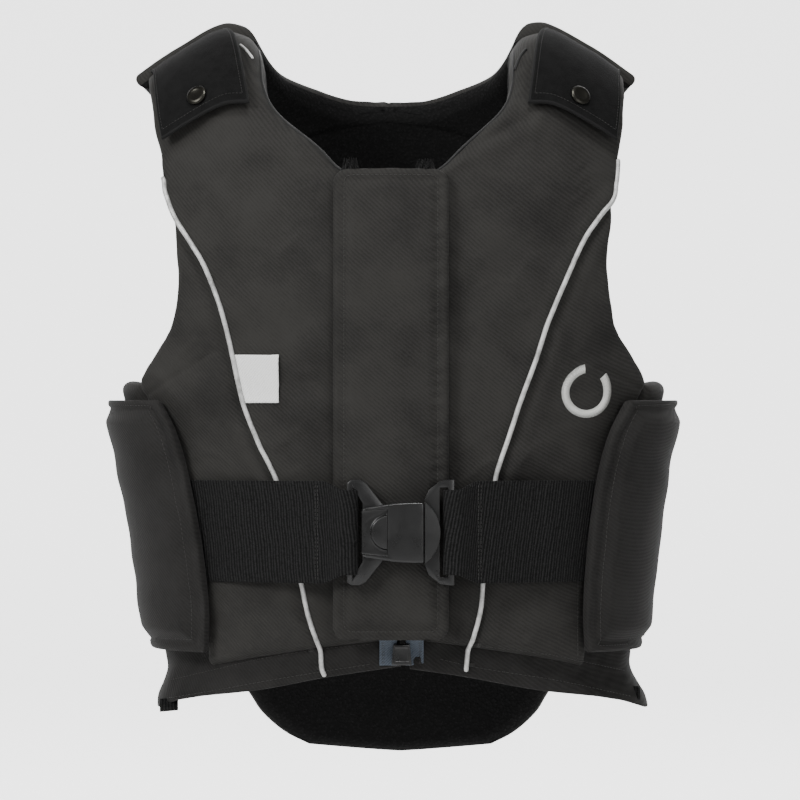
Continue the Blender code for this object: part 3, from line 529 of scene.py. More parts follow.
def smooth_line(line, step=0.002):
    """Evenly spaced points in metres on a smooth line through points in millimetres."""
    points = np.array(line, float) / 1000
    run = np.concatenate([[0], np.cumsum(np.linalg.norm(np.diff(points, axis=0), axis=1))])
    at = np.linspace(0, run[-1], max(int(run[-1] / step), 2) + 1)
    if len(points) == 2:
        return np.column_stack([np.interp(at, run, points[:, k]) for k in range(points.shape[1])])
    return np.column_stack([read(np.column_stack([run, points[:, k]]), 1, at) for k in range(points.shape[1])])


def from_line(x, z, line):
    """Distance from places seen from the front to a line."""
    points = smooth_line(line)
    flat = np.stack([x.ravel(), z.ravel(), np.zeros(x.size)], -1)
    ends = np.column_stack([points, np.zeros(len(points))])
    return nearest(flat, ends).reshape(x.shape)


def drawn(x, z, side):
    """Thin slanting pulls in the cloth, from the armhole towards the placket, strongest beside the zip."""
    made = 0
    for k, (slope, pitch) in enumerate(((0.35, 0.021), (0.62, 0.033), (-0.28, 0.027))):
        run = z - slope * side * x + 0.004 * np.sin(x / 0.037 * math.tau + k)
        fold = np.maximum(np.sin(run / pitch * math.tau + k * 2.2 + side), 0) ** 3
        patch = np.maximum(np.sin(x / 0.11 * math.tau + k * 1.9 + side) * np.sin(z / 0.13 * math.tau + k * 2.7), 0)
        made = made + fold * patch
    return made


def front_relief(side):
    """Swelling of the foam, pulls in the cloth, and the dips along the seams of a front."""
    def relief(x, z):
        swell = 0.0014 * ripple(x, z, 4.0 + side, 0.075) + 0.0005 * ripple(x, z, 7.0 + side, 0.028)
        swell += 0.0007 * drawn(x, z, side)
        piped = from_line(x, z, PIPING_LINES[side])
        swell += 0.0011 * np.exp(-((piped - 0.008) / 0.005) ** 2) - 0.0017 * np.exp(-(piped / 0.0026) ** 2)
        for line in FOAM_SEAMS:
            if np.sign(line[0][0]) == side:
                swell -= 0.0010 * np.exp(-(from_line(x, z, line) / 0.0022) ** 2)
        if side == 1:
            crease = from_line(x, z, NECK_CREASE)
            swell -= 0.0016 * np.exp(-(crease / 0.0035) ** 2)
            swell += 0.0010 * np.exp(-((crease - 0.009) / 0.005) ** 2)
        return swell
    return relief


def front_point(side):
    """Points over a front: a share from the zip or neck to the arm, and a place in rows."""
    rows = FRONT_ROWS.copy()
    edge = ZIP_OFFSET + side * (CHAIN_WIDTH / 2 + GAP)
    at_zip = rows[:NECK_CORNER + 1, 0]
    sway = HALF_WIDTH * read(SECTIONS, 4, at_zip)
    rows[:NECK_CORNER + 1, 1] = side * (edge - sway) / (HALF_WIDTH * read(SECTIONS, 1, at_zip) + FOAM / 2)

    def place(share, at, stand=FOAM / 2):
        near = turn_of(row_value(rows, 1, at, NECK_CORNER))
        far = turn_of(row_value(rows, 3, at))
        near_level, far_level = row_value(rows, 0, at, NECK_CORNER), row_value(rows, 2, at)
        return form(side, near + (far - near) * share, near_level + (far_level - near_level) * share, stand)
    return place


fronts = {}
for side, word in ((1, "left"), (-1, "right")):
    fronts[side] = cushion(f"front_pad_{word}", [front_point(side)], len(FRONT_ROWS), 74, 0.0022, FOAM, 0.0075,
                           (shell_cloth, lining_cloth), relief=front_relief(side))
    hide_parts(f"front_panel_{word}")


# Hem bands: unpadded twill below the fronts, folded double, with the raw corner bound in black tape.
# They hang free of the foam, so they wave a little, and their corners curl outwards.
BAND = 0.003
BAND_END_TURN = 87.5
HEM_LINE = np.array([
    (0.000, -0.925, -0.996), (0.320, -0.951, -1.025), (0.600, -0.976, -1.060), (0.820, -1.004, -1.080),
    (0.890, -1.006, -1.090), (0.930, -0.985, -1.098), (1.000, -0.980, -1.124),
])


def band_point(side):
    """Points over a hem band: a share from the zip to the side, and a place in three steps down."""
    edge = ZIP_OFFSET + side * (CHAIN_WIDTH / 2 + GAP)
    first = turn_of(side * edge / (HALF_WIDTH * 0.9 + FOAM / 2))

    def place(share, at, stand=BAND / 2):
        turn = first + (BAND_END_TURN - first) * share
        across = np.sin(np.radians(np.clip(turn, 0, 90))) ** (2 / SIDE_SQUARENESS)
        foot = read(HEM_LINE, 1, across) + 0.013 + 0.035 * smooth_step(across, 0.70, 0.84)
        hem = read(HEM_LINE, 2, across)
        down = at / 3
        wave = 0.0016 * np.sin(turn * 0.21 + side) * down * (1 - smooth_step(across, 0.8, 0.95))
        curl = smooth_step(across, 0.88, 1.0) * (0.012 * (1 - down) + (0.003 + 0.003 * side) * down)
        return form(side, turn, foot + (hem - foot) * down, FOAM / 2 - BAND / 2 + stand + (wave + curl))
    return place


# The same twill made darker for the hem bands and wings: painted shade for faces that turn down and away from the lamps
painted_shade_twill = twill("polyester twill woven charcoal darkened as painted shade", "222120", "11100f")
bands = {}
for side, word in ((1, "left"), (-1, "right")):
    # The hem bands take the darker twill, which is painted shade
    bands[side] = cushion(f"hem_band_{word}_cloth", [band_point(side)], 4, 96, 0.0018, BAND, 0.0016,
                          (painted_shade_twill, painted_shade_twill),
                          relief=lambda x, z: 0.0005 * ripple(x, z, 9.0, 0.016))
    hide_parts(f"hem_band_{word}")


# Side panels: foam gussets under the arms between the fronts and the back, their tops rolled over.
# Only the rounded tops and the lowest part show, above and below the wings.
SIDE_TOP_LEVEL = -0.250
SIDE_FOOT_LEVEL = -0.955
SEAM_GAP = 0.0011
BACK_EDGE = np.array([(row[2], row[3]) for row in BACK_ROWS if SIDE_FOOT_LEVEL < row[2] < SIDE_TOP_LEVEL])


def side_point(side):
    """Points over a gusset, from the front's edge to the back's, and the number of its rows."""
    arm_edge = FRONT_ROWS[:, 2:4]
    levels = [SIDE_FOOT_LEVEL] + [level for level in arm_edge[:, 0] if SIDE_FOOT_LEVEL < level <= SIDE_TOP_LEVEL]
    front_edge = np.array([(level, float(read(arm_edge, 1, np.array(level)))) for level in levels])
    last = len(front_edge) - 1
    seam = math.degrees(SEAM_GAP / BACK_DEPTH)

    def place(share, at, stand=FOAM / 2):
        up = at / last
        near_level = row_value(front_edge, 0, at)
        near = turn_of(row_value(front_edge, 1, at)) + seam
        far_level = SIDE_FOOT_LEVEL + (SIDE_TOP_LEVEL - 0.035 - SIDE_FOOT_LEVEL) * up
        far = 180 - turn_of(read(BACK_EDGE, 1, far_level)) - seam
        bulge = np.sin(np.pi * share)
        level = near_level + (far_level - near_level) * share
        level = level + bulge * 0.018 * smooth_step(up, 0.84, 1.0)
        return form(side, near + (far - near) * share, level, stand)
    return place, last + 1


for side, word in ((1, "left"), (-1, "right")):
    point, count = side_point(side)
    gusset = cushion(f"side_pad_{word}", [point], count, 44, 0.003, FOAM, 0.0088, (shell_cloth, lining_cloth),
                     relief=lambda x, z: 0.0007 * ripple(x, z, 6.0, 0.04))
    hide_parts(f"side_panel_{word}")


# Wings: foam covers in twill that stand off over the side lacing, sewn to the back behind.
# The foam stops short of the edge, and a stitch line holds it back from a flat flange all round.
ELASTIC = 0.0022
WING = 0.013
WING_BACK_TURN = 124.0
WING_ROWS = np.array([
    (-0.962, 0.772), (-0.850, 0.752), (-0.720, 0.747), (-0.560, 0.757), (-0.400, 0.778), (-0.305, 0.818),
])


def wing_point(side):
    """Points over a wing: a share from its front edge to the back, and a place in rows."""
    lie = FOAM + ELASTIC + 5 * GAP

    def place(share, at, stand=WING / 2):
        first = turn_of(row_value(WING_ROWS, 1, at))
        turn = first + (WING_BACK_TURN - first) * share
        return form(side, turn, row_value(WING_ROWS, 0, at), lie + stand)
    return place


def flanged(flange, line, rise, low):
    """Share of the thickness by distance from the rim: a flat flange, a stitch line, then the full pad."""
    def body(edge):
        full = low + (1 - low) * smooth_step(edge, line, line + rise)
        return full - 0.16 * np.exp(-((edge - line) / 0.0013) ** 2) - 0.04 * smooth_step(flange - edge, 0, flange)
    return body


wings = {}
for side, word in ((1, "left"), (-1, "right")):
    # The wings take the darker twill, which is painted shade
    wings[side] = cushion(f"wing_pad_{word}", [wing_point(side)], len(WING_ROWS), 88, 0.0021, WING, 0.0028,
                          (painted_shade_twill, painted_shade_twill), body=flanged(0.003, 0.0062, 0.011, 0.25),
                          relief=lambda x, z: 0.0009 * ripple(x, z, 3.0, 0.05))
    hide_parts(f"side_wing_{word}")


# Shoulder flaps: stiff tabs faced in black brushed pile, their edge bound with thin smooth tape.
# Each is sewn into the seam at the top of the shoulder and lies down over the front, held by a snap.
FLAP = 0.0028
FLAP_STAND_OFF = 0.0055
FLAP_BINDING = 0.0013
FLAP_ROWS = np.array([
    (0.997, 0.997, 29.0, 51.0), (0.840, 0.830, 27.0, 49.5), (0.630, 0.595, 24.8, 47.4), (0.448, 0.392, 22.9, 44.8),
])


def pile(name, colour, shade, bound):
    """Brushed nylon pile: short dull fibres that catch a little light, with a smoother tape at the rim."""
    material, shader = new_material(name, colour, 0.9, Specular_IOR_Level=0.12, Sheen_Weight=0.02,
                                    Sheen_Roughness=0.45)
    place = node(material, "ShaderNodeTexCoord", (-1300, 0))
    fibre = node(material, "ShaderNodeTexNoise", (-1050, 100), {
        "Vector": place.outputs["Object"], "Scale": 1500.0, "Detail": 3.0, "Roughness": 0.65})
    tuft = node(material, "ShaderNodeTexNoise", (-1050, -150), {
        "Vector": place.outputs["Object"], "Scale": 160.0, "Detail": 4.0, "Roughness": 0.6})
    height = node(material, "ShaderNodeMath", (-800, 0), {0: tuft.outputs[0], 1: 0.8, 2: fibre.outputs[0]},
                  operation="MULTIPLY_ADD")
    ramp = node(material, "ShaderNodeValToRGB", (-600, 100), {0: height.outputs[0]},
                stops=((0.62, shade), (1.0, colour)))
    rim = node(material, "ShaderNodeAttribute", (-800, -350), attribute_name="rim")
    edge = node(material, "ShaderNodeMapRange", (-600, -350), {
        "Value": rim.outputs["Fac"], "From Min": FLAP_BINDING, "From Max": FLAP_BINDING * 0.85})
    mixed = node(material, "ShaderNodeMix", (-300, 50), {0: edge.outputs[0], 6: ramp.outputs[0],
                                                        7: (*to_linear(bound), 1)}, data_type="RGBA")
    bump = node(material, "ShaderNodeBump", (-250, -250), {
        "Strength": 0.7, "Distance": 0.0005, "Height": height.outputs[0]})
    material.node_tree.links.new(mixed.outputs[2], shader.inputs["Base Color"])
    return linked(material, shader, Normal=bump)


def flap_point(side):
    """Points over a flap: a share from its neck side to its arm side, and a place in rows down it."""
    def place(share, at, stand=FLAP / 2):
        near_level, far_level, near, far = (row_value(FLAP_ROWS, k, at) for k in range(4))
        lie = FOAM + 3 * GAP + FLAP_STAND_OFF * smooth_step(at / 3, 0.15, 0.95)
        return form(side, near + (far - near) * share, near_level + (far_level - near_level) * share, lie + stand)
    return place


flap_cloth = pile("nylon pile brushed black", "131313", "070707", "1e1e1e")
flaps = {}
for side, word in ((1, "left"), (-1, "right")):
    flaps[side] = cushion(f"shoulder_flap_{word}_pile", [flap_point(side)], len(FLAP_ROWS), 60, 0.0012, FLAP, 0.0013,
                          (flap_cloth, flap_cloth), body=lambda edge: 1 - 0.15 * smooth_step(edge, 0.0010, 0.0020),
                          relief=lambda x, z: 0.0003 * ripple(x, z, 8.0, 0.03))
    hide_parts(f"shoulder_flap_{word}")


# Snap caps: pressed steel caps with a black oxide finish, riveted through the flaps near their feet.
# Each is a low dome with a shallow dish, and its smooth face shows the lamps as a soft crescent.
SNAP_DIAMETER = 0.015
SNAP_HEIGHT = 0.0026
SNAP_ROW = 3 * 0.88


def pick_faces(test):
    """In edit mode, selects the faces whose centre and normal pass a test."""
    bpy.ops.mesh.select_mode(type="FACE")
    bpy.ops.mesh.select_all(action="DESELECT")
    shape = bmesh.from_edit_mesh(bpy.context.object.data)
    for face in shape.faces:
        face.select_set(bool(test(face.calc_center_median(), face.normal)))
    bmesh.update_edit_mesh(bpy.context.object.data)


def apply_modifiers(piece):
    """Makes a piece the only one selected, and applies its modifiers in turn."""
    bpy.ops.object.select_all(action="DESELECT")
    bpy.context.view_layer.objects.active = piece
    piece.select_set(True)
    for step in list(piece.modifiers):
        bpy.ops.object.modifier_apply(modifier=step.name)


def bevelled(piece, width, segments, angle=30):
    """Rounds a piece's sharp edges and smooths its shading."""
    rim = piece.modifiers.new("rounded edges", "BEVEL")
    rim.width = width
    rim.segments = segments
    rim.limit_method = "ANGLE"
    rim.angle_limit = math.radians(angle)
    apply_modifiers(piece)
    bpy.ops.object.shade_smooth_by_angle(angle=math.radians(40))


def settle(piece, name, material, node_name):
    """Puts a finished hard piece in the frame: place in its mesh, material, body, and the node that it stands for."""
    bpy.ops.object.select_all(action="DESELECT")
    bpy.context.view_layer.objects.active = piece
    piece.select_set(True)
    bpy.ops.object.transform_apply(location=True, rotation=True, scale=True)
    piece.name = name
    piece.data.name = name
    piece.data.materials.clear()
    piece.data.materials.append(material)
    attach(piece, "root")
    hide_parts(node_name)


def smooth_black(name, colour, roughness, grain, strength, **shader_values):
    """Smooth dark finish with a fine grain and slight unevenness of gloss from handling."""
    material, shader = new_material(name, colour, roughness, **shader_values)
    place = node(material, "ShaderNodeTexCoord", (-900, 0))
    fine = node(material, "ShaderNodeTexNoise", (-700, 100), {
        "Vector": place.outputs["Object"], "Scale": 1 / grain, "Detail": 2.0})
    worn = node(material, "ShaderNodeTexNoise", (-700, -150), {
        "Vector": place.outputs["Object"], "Scale": 90.0, "Detail": 5.0})
    gloss = node(material, "ShaderNodeMapRange", (-450, -150), {
        "Value": worn.outputs[0], "From Min": 0.3, "From Max": 0.7, "To Min": roughness - 0.06,
        "To Max": roughness + 0.08})
    bump = node(material, "ShaderNodeBump", (-300, 100), {
        "Strength": strength, "Distance": 0.0001, "Height": fine.outputs[0]})
    return linked(material, shader, Roughness=gloss, Normal=bump)


# Black oxide on steel: a dark metal whose soft gloss gives one crescent of light
oxide = smooth_black("steel black oxide", "34332f", 0.28, 0.0008, 0.15, Metallic=1.0)
for side, word in ((1, "left"), (-1, "right")):
    point = flap_point(side)
    seat = Vector(point(0.5, SNAP_ROW, FLAP + GAP))
    down = Vector(point(0.5, SNAP_ROW + 0.2, FLAP)) - Vector(point(0.5, SNAP_ROW - 0.2, FLAP))
    sideways = Vector(point(0.7, SNAP_ROW, FLAP)) - Vector(point(0.3, SNAP_ROW, FLAP))
    normal = down.cross(sideways).normalized()
    if normal.y > 0:
        normal = -normal
    bpy.ops.mesh.primitive_cylinder_add(
        vertices=56, radius=SNAP_DIAMETER / 2, depth=SNAP_HEIGHT * 0.55, location=seat + normal * SNAP_HEIGHT * 0.28,
        rotation=normal.to_track_quat("Z", "Y").to_euler())
    snap = bpy.context.object
    bpy.ops.object.mode_set(mode="EDIT")
    pick_faces(lambda centre, facing: facing.z > 0.9)
    bpy.ops.mesh.inset(thickness=0.0012, depth=0.0007)
    bpy.ops.mesh.inset(thickness=0.0014, depth=0.0003)
    bpy.ops.mesh.inset(thickness=0.0009, depth=-0.0002)
    bpy.ops.mesh.inset(thickness=0.0020, depth=-0.0003)
    bpy.ops.object.mode_set(mode="OBJECT")
    bevelled(snap, 0.0005, 3, 12)
    settle(snap, f"snap_cap_{word}_steel", oxide, f"snap_cap_{word}")


# Placket: a padded twill flap down the middle that covers the zip, turned out over a thin foam.
# A line of stitching 8 mm in from its rim holds the foam, and the cloth puckers along it.
TAPE_THICKNESS = 0.0008
PLACKET = 0.009
PLACKET_WIDTH = 0.081
PLACKET_TOP = 0.0815
PLACKET_LENGTH = 0.33052
PLACKET_CORNER = 0.010
PLACKET_MIDDLE = -0.0015
PLACKET_LIE = FOAM + 5 * GAP + TAPE_THICKNESS
PLACKET_FACE = PLACKET_LIE + PLACKET


def on_front(x, z, stand):
    """Points over the front at places seen from it, at a stand out from the body."""
    x, z, stand = np.broadcast_arrays(x, z, stand)
    crown = -SHOULDER_FALL * SHOULDER_LINE[0, 1] + stand * SLOPE_ALLOWANCE + CHEST_DROP
    upper = np.degrees(np.arcsin(np.clip((z + CHEST_DROP) / crown, 0, 1) ** (SHOULDER_SQUARENESS / 2))) / 90
    level = np.where(z > -CHEST_DROP, upper, (z + CHEST_DROP) / TRUNK_LENGTH)
    sway = HALF_WIDTH * read(SECTIONS, 4, level)
    return form(1, turn_of((x - sway) / (HALF_WIDTH * read(SECTIONS, 1, level) + stand)), level, stand)


def placket_point(share, at, stand=PLACKET / 2):
    drop = PLACKET_LENGTH * at / 23
    short = np.maximum(PLACKET_CORNER - np.minimum(drop, PLACKET_LENGTH - drop), 0)
    reach = PLACKET_WIDTH / 2 - PLACKET_CORNER + np.sqrt(np.maximum(PLACKET_CORNER**2 - short**2, 0))
    return on_front(PLACKET_MIDDLE + reach * (2 * share - 1), -PLACKET_TOP - drop, PLACKET_LIE + stand)


def placket_relief(x, z):
    seam = np.abs(np.abs(x - PLACKET_MIDDLE) - (PLACKET_WIDTH / 2 - 0.008))
    pucker = np.sin(z / 0.0105 * math.tau + 2.1 * np.sin(z / 0.047 * math.tau)) * np.exp(-(seam / 0.006) ** 2)
    return 0.0004 * pucker * (1 + 0.5 * np.sign(x)) + 0.0003 * ripple(x, z, 12.0, 0.04)


placket = cushion("placket_flap_pad", [placket_point], 24, 56, 0.0021, PLACKET, 0.0042,
                  (shell_cloth, shell_cloth), relief=placket_relief,
                  body=lambda edge: 0.66 + 0.30 * smooth_step(edge, 0.008, 0.015)
                  - 0.17 * np.exp(-((edge - 0.008) / 0.0016) ** 2))
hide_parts("placket_flap")


# Zip: two woven tapes in blue-grey, a closed coil of black teeth, and a moulded box at the foot.
# The tapes are sewn to the inner edges of the fronts. Only their feet show, below the placket.
TAPE_WIDTH = 0.0125


def cover_stand(x, z):
    """Stand of the outer face of the foam, or of the thinner band below it."""
    level = (z + CHEST_DROP) / TRUNK_LENGTH
    foot = read(HEM_LINE, 1, np.abs(x) / HALF_WIDTH)
    band_face = FOAM / 2 + BAND / 2
    return band_face + (FOAM - band_face) * smooth_step(level, foot - 0.0288, foot + 0.0155)


def tape_point(side):
    def place(share, at, stand=TAPE_THICKNESS / 2):
        x = ZIP_OFFSET + side * (CHAIN_WIDTH / 2 + GAP + TAPE_WIDTH * share)
        z = -0.0860 - 0.3443 * at / 29
        return on_front(x, z, cover_stand(0.08 * HALF_WIDTH, z) + 2 * GAP + stand)
    return place


def woven_tape(name, colour, shade):
    """Woven polyester tape, flat and dull, with slanting ribs 1.4 mm apart. Real ones are half as wide."""
    material, shader = new_material(name, colour, 0.75, Specular_IOR_Level=0.25, Sheen_Weight=0.03)
    uv = node(material, "ShaderNodeUVMap", (-1200, 0), uv_map="cloth")
    ribs = node(material, "ShaderNodeTexWave", (-900, 100), {
        "Vector": uv.outputs[0], "Scale": 314.0, "Distortion": 0.4}, bands_direction="DIAGONAL")
    yarn = node(material, "ShaderNodeTexNoise", (-900, -150), {"Vector": uv.outputs[0], "Scale": 1200.0, "Detail": 3.0})
    height = node(material, "ShaderNodeMath", (-650, 0), {0: ribs.outputs[1], 1: 0.5, 2: yarn.outputs[0]},
                  operation="MULTIPLY_ADD")
    ramp = node(material, "ShaderNodeValToRGB", (-450, 0), {0: height.outputs[0]},
                stops=((0.35, shade), (0.95, colour)))
    bump = node(material, "ShaderNodeBump", (-250, -200), {
        "Strength": 0.6, "Distance": 0.0003, "Height": height.outputs[0]})
    return linked(material, shader, Base_Color=ramp, Normal=bump)


zip_cloth = woven_tape("polyester tape woven blue grey", "4c545e", "353b43")
for side, word in ((1, "left"), (-1, "right")):
    tape = cushion(f"zip_tape_{word}_cloth", [tape_point(side)], 30, 12, 0.003, TAPE_THICKNESS, 0.0004,
                   (zip_cloth, zip_cloth))
    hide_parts(f"zip_tape_{word}")

# Nylon monofilament coil: smooth and half glossy, its turns 1.5 mm apart
coil, coil_shader = new_material("nylon coil black", "1a1a1a", 0.42)
coil_place = node(coil, "ShaderNodeTexCoord", (-900, 0))
turns = node(coil, "ShaderNodeTexWave", (-650, 0), {
    "Vector": coil_place.outputs["Object"], "Scale": 0.314 / 0.0015}, bands_direction="Z")
coil_bump = node(coil, "ShaderNodeBump", (-300, 0), {
    "Strength": 1.0, "Distance": 0.0006, "Height": turns.outputs[1]})
linked(coil, coil_shader, Normal=coil_bump)
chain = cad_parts["zip_chain"]
chain = bpy.data.objects[chain] if isinstance(chain, str) else chain
chain.material_slots[0].material = coil

# Moulded acetal: a fine grain from the mould and a soft gloss that lights the edges
acetal = smooth_black("acetal moulded black", "141414", 0.30, 0.0005, 0.25, Specular_IOR_Level=0.5)
box_low, box_high = (Vector(corner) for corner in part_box("zip_box"))
box_size = box_high - box_low
bpy.ops.mesh.primitive_cube_add(size=1, location=(box_low + box_high) / 2, scale=box_size * 0.98)
zip_box = bpy.context.object
bpy.ops.object.transform_apply(location=False, rotation=False, scale=True)
bpy.ops.object.mode_set(mode="EDIT")
pick_faces(lambda centre, facing: facing.y < -0.9)
bpy.ops.mesh.inset(thickness=0.0022, depth=0.0)
bpy.ops.mesh.inset(thickness=0.0006, depth=-0.0008)
pick_faces(lambda centre, facing: facing.z > 0.9)
bpy.ops.transform.resize(value=(0.82, 0.9, 1.0))
bpy.ops.object.mode_set(mode="OBJECT")
bevelled(zip_box, 0.0006, 3)
settle(zip_box, "zip_box_moulded", acetal, "zip_box")


# Piping: cord wrapped in silver-grey reflective tape, caught in the curved seams of both fronts.
# It lies in the dip of the seam down to the hem band, and tight bartacks cross it near its foot.
PIPING_DIAMETER = 0.0034


def surface_of(*pieces):
    """Tree of the faces of some pieces, to lay cords and threads on."""
    points, faces = [], []
    for piece in pieces:
        base = len(points)
        points.extend(corner.co.copy() for corner in piece.data.vertices)
        faces.extend([base + i for i in face.vertices] for face in piece.data.polygons)
    return BVHTree.FromPolygons(points, faces)


NEAR_HALF = 0.02


def from_front(tree, line, drawn_in=0):
    """Points and normals of the surface that is seen at places across and up from the front.

    drawn_in is how far a place outside the outline may move inwards to meet the surface.
    """
    points, normals = [], []
    for x, z in line:
        for inward in np.arange(0, drawn_in + 0.0001, 0.0005):
            spot = x - math.copysign(inward + (0.001 if inward else 0), x)
            hit, normal, _, _ = tree.ray_cast(Vector((spot, -0.4, z)), Vector((0, 1, 0)))
            if hit is not None and hit.y < -NEAR_HALF:
                break
        if hit is not None and hit.y < NEAR_HALF:
            points.append(hit)
            normals.append(normal if normal.y < 0 else -normal)
    return np.array(points), np.array(normals)


def softened(points, rounds=6):
    """A line with its small steps smoothed out, its ends kept."""
    points = points.copy()
    for _ in range(rounds):
        points[1:-1] = (points[:-2] + 2 * points[1:-1] + points[2:]) / 4
    return points


def tube(name, path, radius, material, sides=12):
    """Round cord along points, with domed ends and a UV map in metres round and along it."""
    path = np.asarray(path, float)
    along = np.concatenate([[0], np.cumsum(np.linalg.norm(np.diff(path, axis=0), axis=1))])
    dome = radius * (1 - np.cos(np.linspace(0, np.pi / 2, 5)))[:-1]
    at = np.concatenate([dome, along[(along > radius * 1.1) & (along < along[-1] - radius * 1.1)],
                         along[-1] - dome[::-1]])
    centre = np.column_stack([np.interp(at, along, path[:, k]) for k in range(3)])
    end = np.minimum(np.minimum(at, along[-1] - at), radius)
    full = radius * np.sqrt(np.maximum(1 - (1 - end / radius) ** 2, 0.0025))
    ahead = np.gradient(centre, axis=0)
    ahead /= np.linalg.norm(ahead, axis=1)[:, None]
    first = np.cross(ahead, (0, 1, 0))
    first /= np.linalg.norm(first, axis=1)[:, None]
    second = np.cross(ahead, first)
    angle = np.linspace(0, math.tau, sides, endpoint=False)
    points = (centre[:, None] + full[:, None, None] * (
        np.cos(angle)[None, :, None] * first[:, None] + np.sin(angle)[None, :, None] * second[:, None]))
    index = np.arange(len(at) * sides).reshape(len(at), sides)
    after = np.roll(index, -1, axis=1)
    faces = np.stack([index[:-1], after[:-1], after[1:], index[1:]], -1).reshape(-1, 4).tolist()
    faces += [index[0][::-1].tolist(), index[-1].tolist()]
    uvs = np.stack(np.broadcast_arrays(angle[None, :] * radius, at[:, None]), -1)
    return faced_out(mesh_of(name, points.reshape(-1, 3), faces, uvs.reshape(-1, 2), None, (material,)))


# Glass beads on tape: bright and even in front light, with grey rubbed spots. The beads are drawn 0.5 mm wide.
silver, silver_shader = new_material("reflective tape glass beaded silver", "bdbdbb", 0.42, Metallic=0.25,
                                     Specular_IOR_Level=0.6)
silver_place = node(silver, "ShaderNodeTexCoord", (-1000, 0))
beads = node(silver, "ShaderNodeTexVoronoi", (-750, 100), {"Vector": silver_place.outputs["Object"], "Scale": 2200.0})
rubbed = node(silver, "ShaderNodeTexNoise", (-750, -200), {
    "Vector": silver_place.outputs["Object"], "Scale": 140.0, "Detail": 5.0, "Roughness": 0.65})
silver_ramp = node(silver, "ShaderNodeValToRGB", (-450, 0), {0: rubbed.outputs[0]},
                   stops=((0.32, "8f8f8d"), (0.58, "c8c8c6")))
silver_bump = node(silver, "ShaderNodeBump", (-300, -250), {
    "Strength": 0.4, "Distance": 0.0002, "Height": beads.outputs[0]})
linked(silver, silver_shader, Base_Color=silver_ramp, Normal=silver_bump)

dressed = surface_of(fronts[1], fronts[-1], bands[1], bands[-1])
pipings = {}
for side, word in ((1, "left"), (-1, "right")):
    route, facing = from_front(dressed, smooth_line(PIPING_LINES[side], 0.0012), drawn_in=0.02)
    route = softened(route + facing * PIPING_DIAMETER * 0.28, 8)
    pipings[side] = tube(f"piping_{word}_cord", route, PIPING_DIAMETER / 2, silver)
    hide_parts(f"piping_{word}")


# Side label: a bare white tab of satin ribbon, its near edge caught in the seam under the right piping.
# It is folded once and lies over the front, and its free edge lifts a little.
LABEL = 0.0005
LABEL_CORNERS = np.array([(-112.6, -212.3), (-80.0, -212.4), (-107.6, -246.1), (-80.0, -246.1)]) / 1000


def sheet_between(name, points, thickness, uvs, materials):
    """Thin closed sheet from a grid of points on its middle."""
    rows, columns = points.shape[:2]
    index = np.arange(rows * columns).reshape(rows, columns)
    faces = np.stack([index[:-1, :-1], index[:-1, 1:], index[1:, 1:], index[1:, :-1]], -1).reshape(-1, 4)
    piece = mesh_of(name, points.reshape(-1, 3), faces, uvs.reshape(-1, 2), None, materials)
    wall = piece.modifiers.new("cloth thickness", "SOLIDIFY")
    wall.thickness = thickness
    wall.offset = 0
    apply_modifiers(piece)
    return faced_out(piece)


def grid_size(points):
    """Area of a grid of points, and metres across and along it for its UV map."""
    across = np.cumsum(np.linalg.norm(np.diff(points, axis=1, prepend=points[:, :1]), axis=2), axis=1)
    along = np.cumsum(np.linalg.norm(np.diff(points, axis=0, prepend=points[:1]), axis=2), axis=0)
    sides = np.cross(np.diff(points, axis=1)[:-1], np.diff(points, axis=0)[:, :-1])
    return float(np.linalg.norm(sides, axis=2).sum()), np.stack([across, along], -1)


# Satin ribbon: white and even, with hardly a rib to see
satin = woven_tape("polyester satin ribbon white", "f2f2f0", "dededc")
share, down = np.meshgrid(np.linspace(0, 1, 22), np.linspace(0, 1, 24))
near = LABEL_CORNERS[0] + (LABEL_CORNERS[2] - LABEL_CORNERS[0]) * down[..., None]
piped = smooth_line(PIPING_LINES[-1])
near[..., 0] = np.interp(-near[..., 1], -piped[:, 1], piped[:, 0]) + 0.0016
far = LABEL_CORNERS[1] + (LABEL_CORNERS[3] - LABEL_CORNERS[1]) * down[..., None]
spots = (near + (far - near) * share[..., None]).reshape(-1, 2)
laid, facing = from_front(dressed, spots)
raised = (0.0006 + 0.0016 * smooth_step(share, 0.55, 1.0) ** 2 * (0.7 + 0.3 * np.sin(down * 5))).reshape(-1, 1)
laid = (laid + facing * raised).reshape(*share.shape, 3)
for _ in range(4):
    laid[1:-1, 1:-1] = (laid[:-2, 1:-1] + laid[2:, 1:-1] + laid[1:-1, :-2] + laid[1:-1, 2:]) / 4
_, label_uv = grid_size(laid)
label = sheet_between("side_label_ribbon", laid, LABEL, label_uv, (satin,))
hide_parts("side_label")


# Waist elastics: wide woven elastic from under each wing, looped round the buckle and sewn back on itself.
# It is knitted in fine ribs, puckers a little across, and is drawn in at the buckle's bars.
ELASTIC_WIDTH = 0.0715
ELASTIC_TOP = 0.3005
ELASTIC_FOLD_BACK = 0.038
ELASTIC_END_TURN = 66.0
BUCKLE_BAR = 0.0042
BUCKLE_SLOT = 0.0062
BUCKLE_FRAME_THICKNESS = 0.0042
SOCKET_BAR = ZIP_OFFSET - 0.036
PLUG_BAR = ZIP_OFFSET + 0.0345
BUCKLE_MIDDLE = -ELASTIC_TOP - ELASTIC_WIDTH / 2
LOOP_RADIUS = math.hypot(BUCKLE_BAR, BUCKLE_FRAME_THICKNESS) / 2 + 2 * GAP + ELASTIC / 2


def front_depth(x, stand, z=BUCKLE_MIDDLE):
    """Depth place of the front at a place across it."""
    return on_front(x, z, stand)[..., 1]


def bar_depth(bar):
    """Depth place of the middle of a buckle bar, a strap's thickness clear of the placket."""
    return float(front_depth(bar, PLACKET_FACE + 3 * GAP + LOOP_RADIUS + ELASTIC / 2))


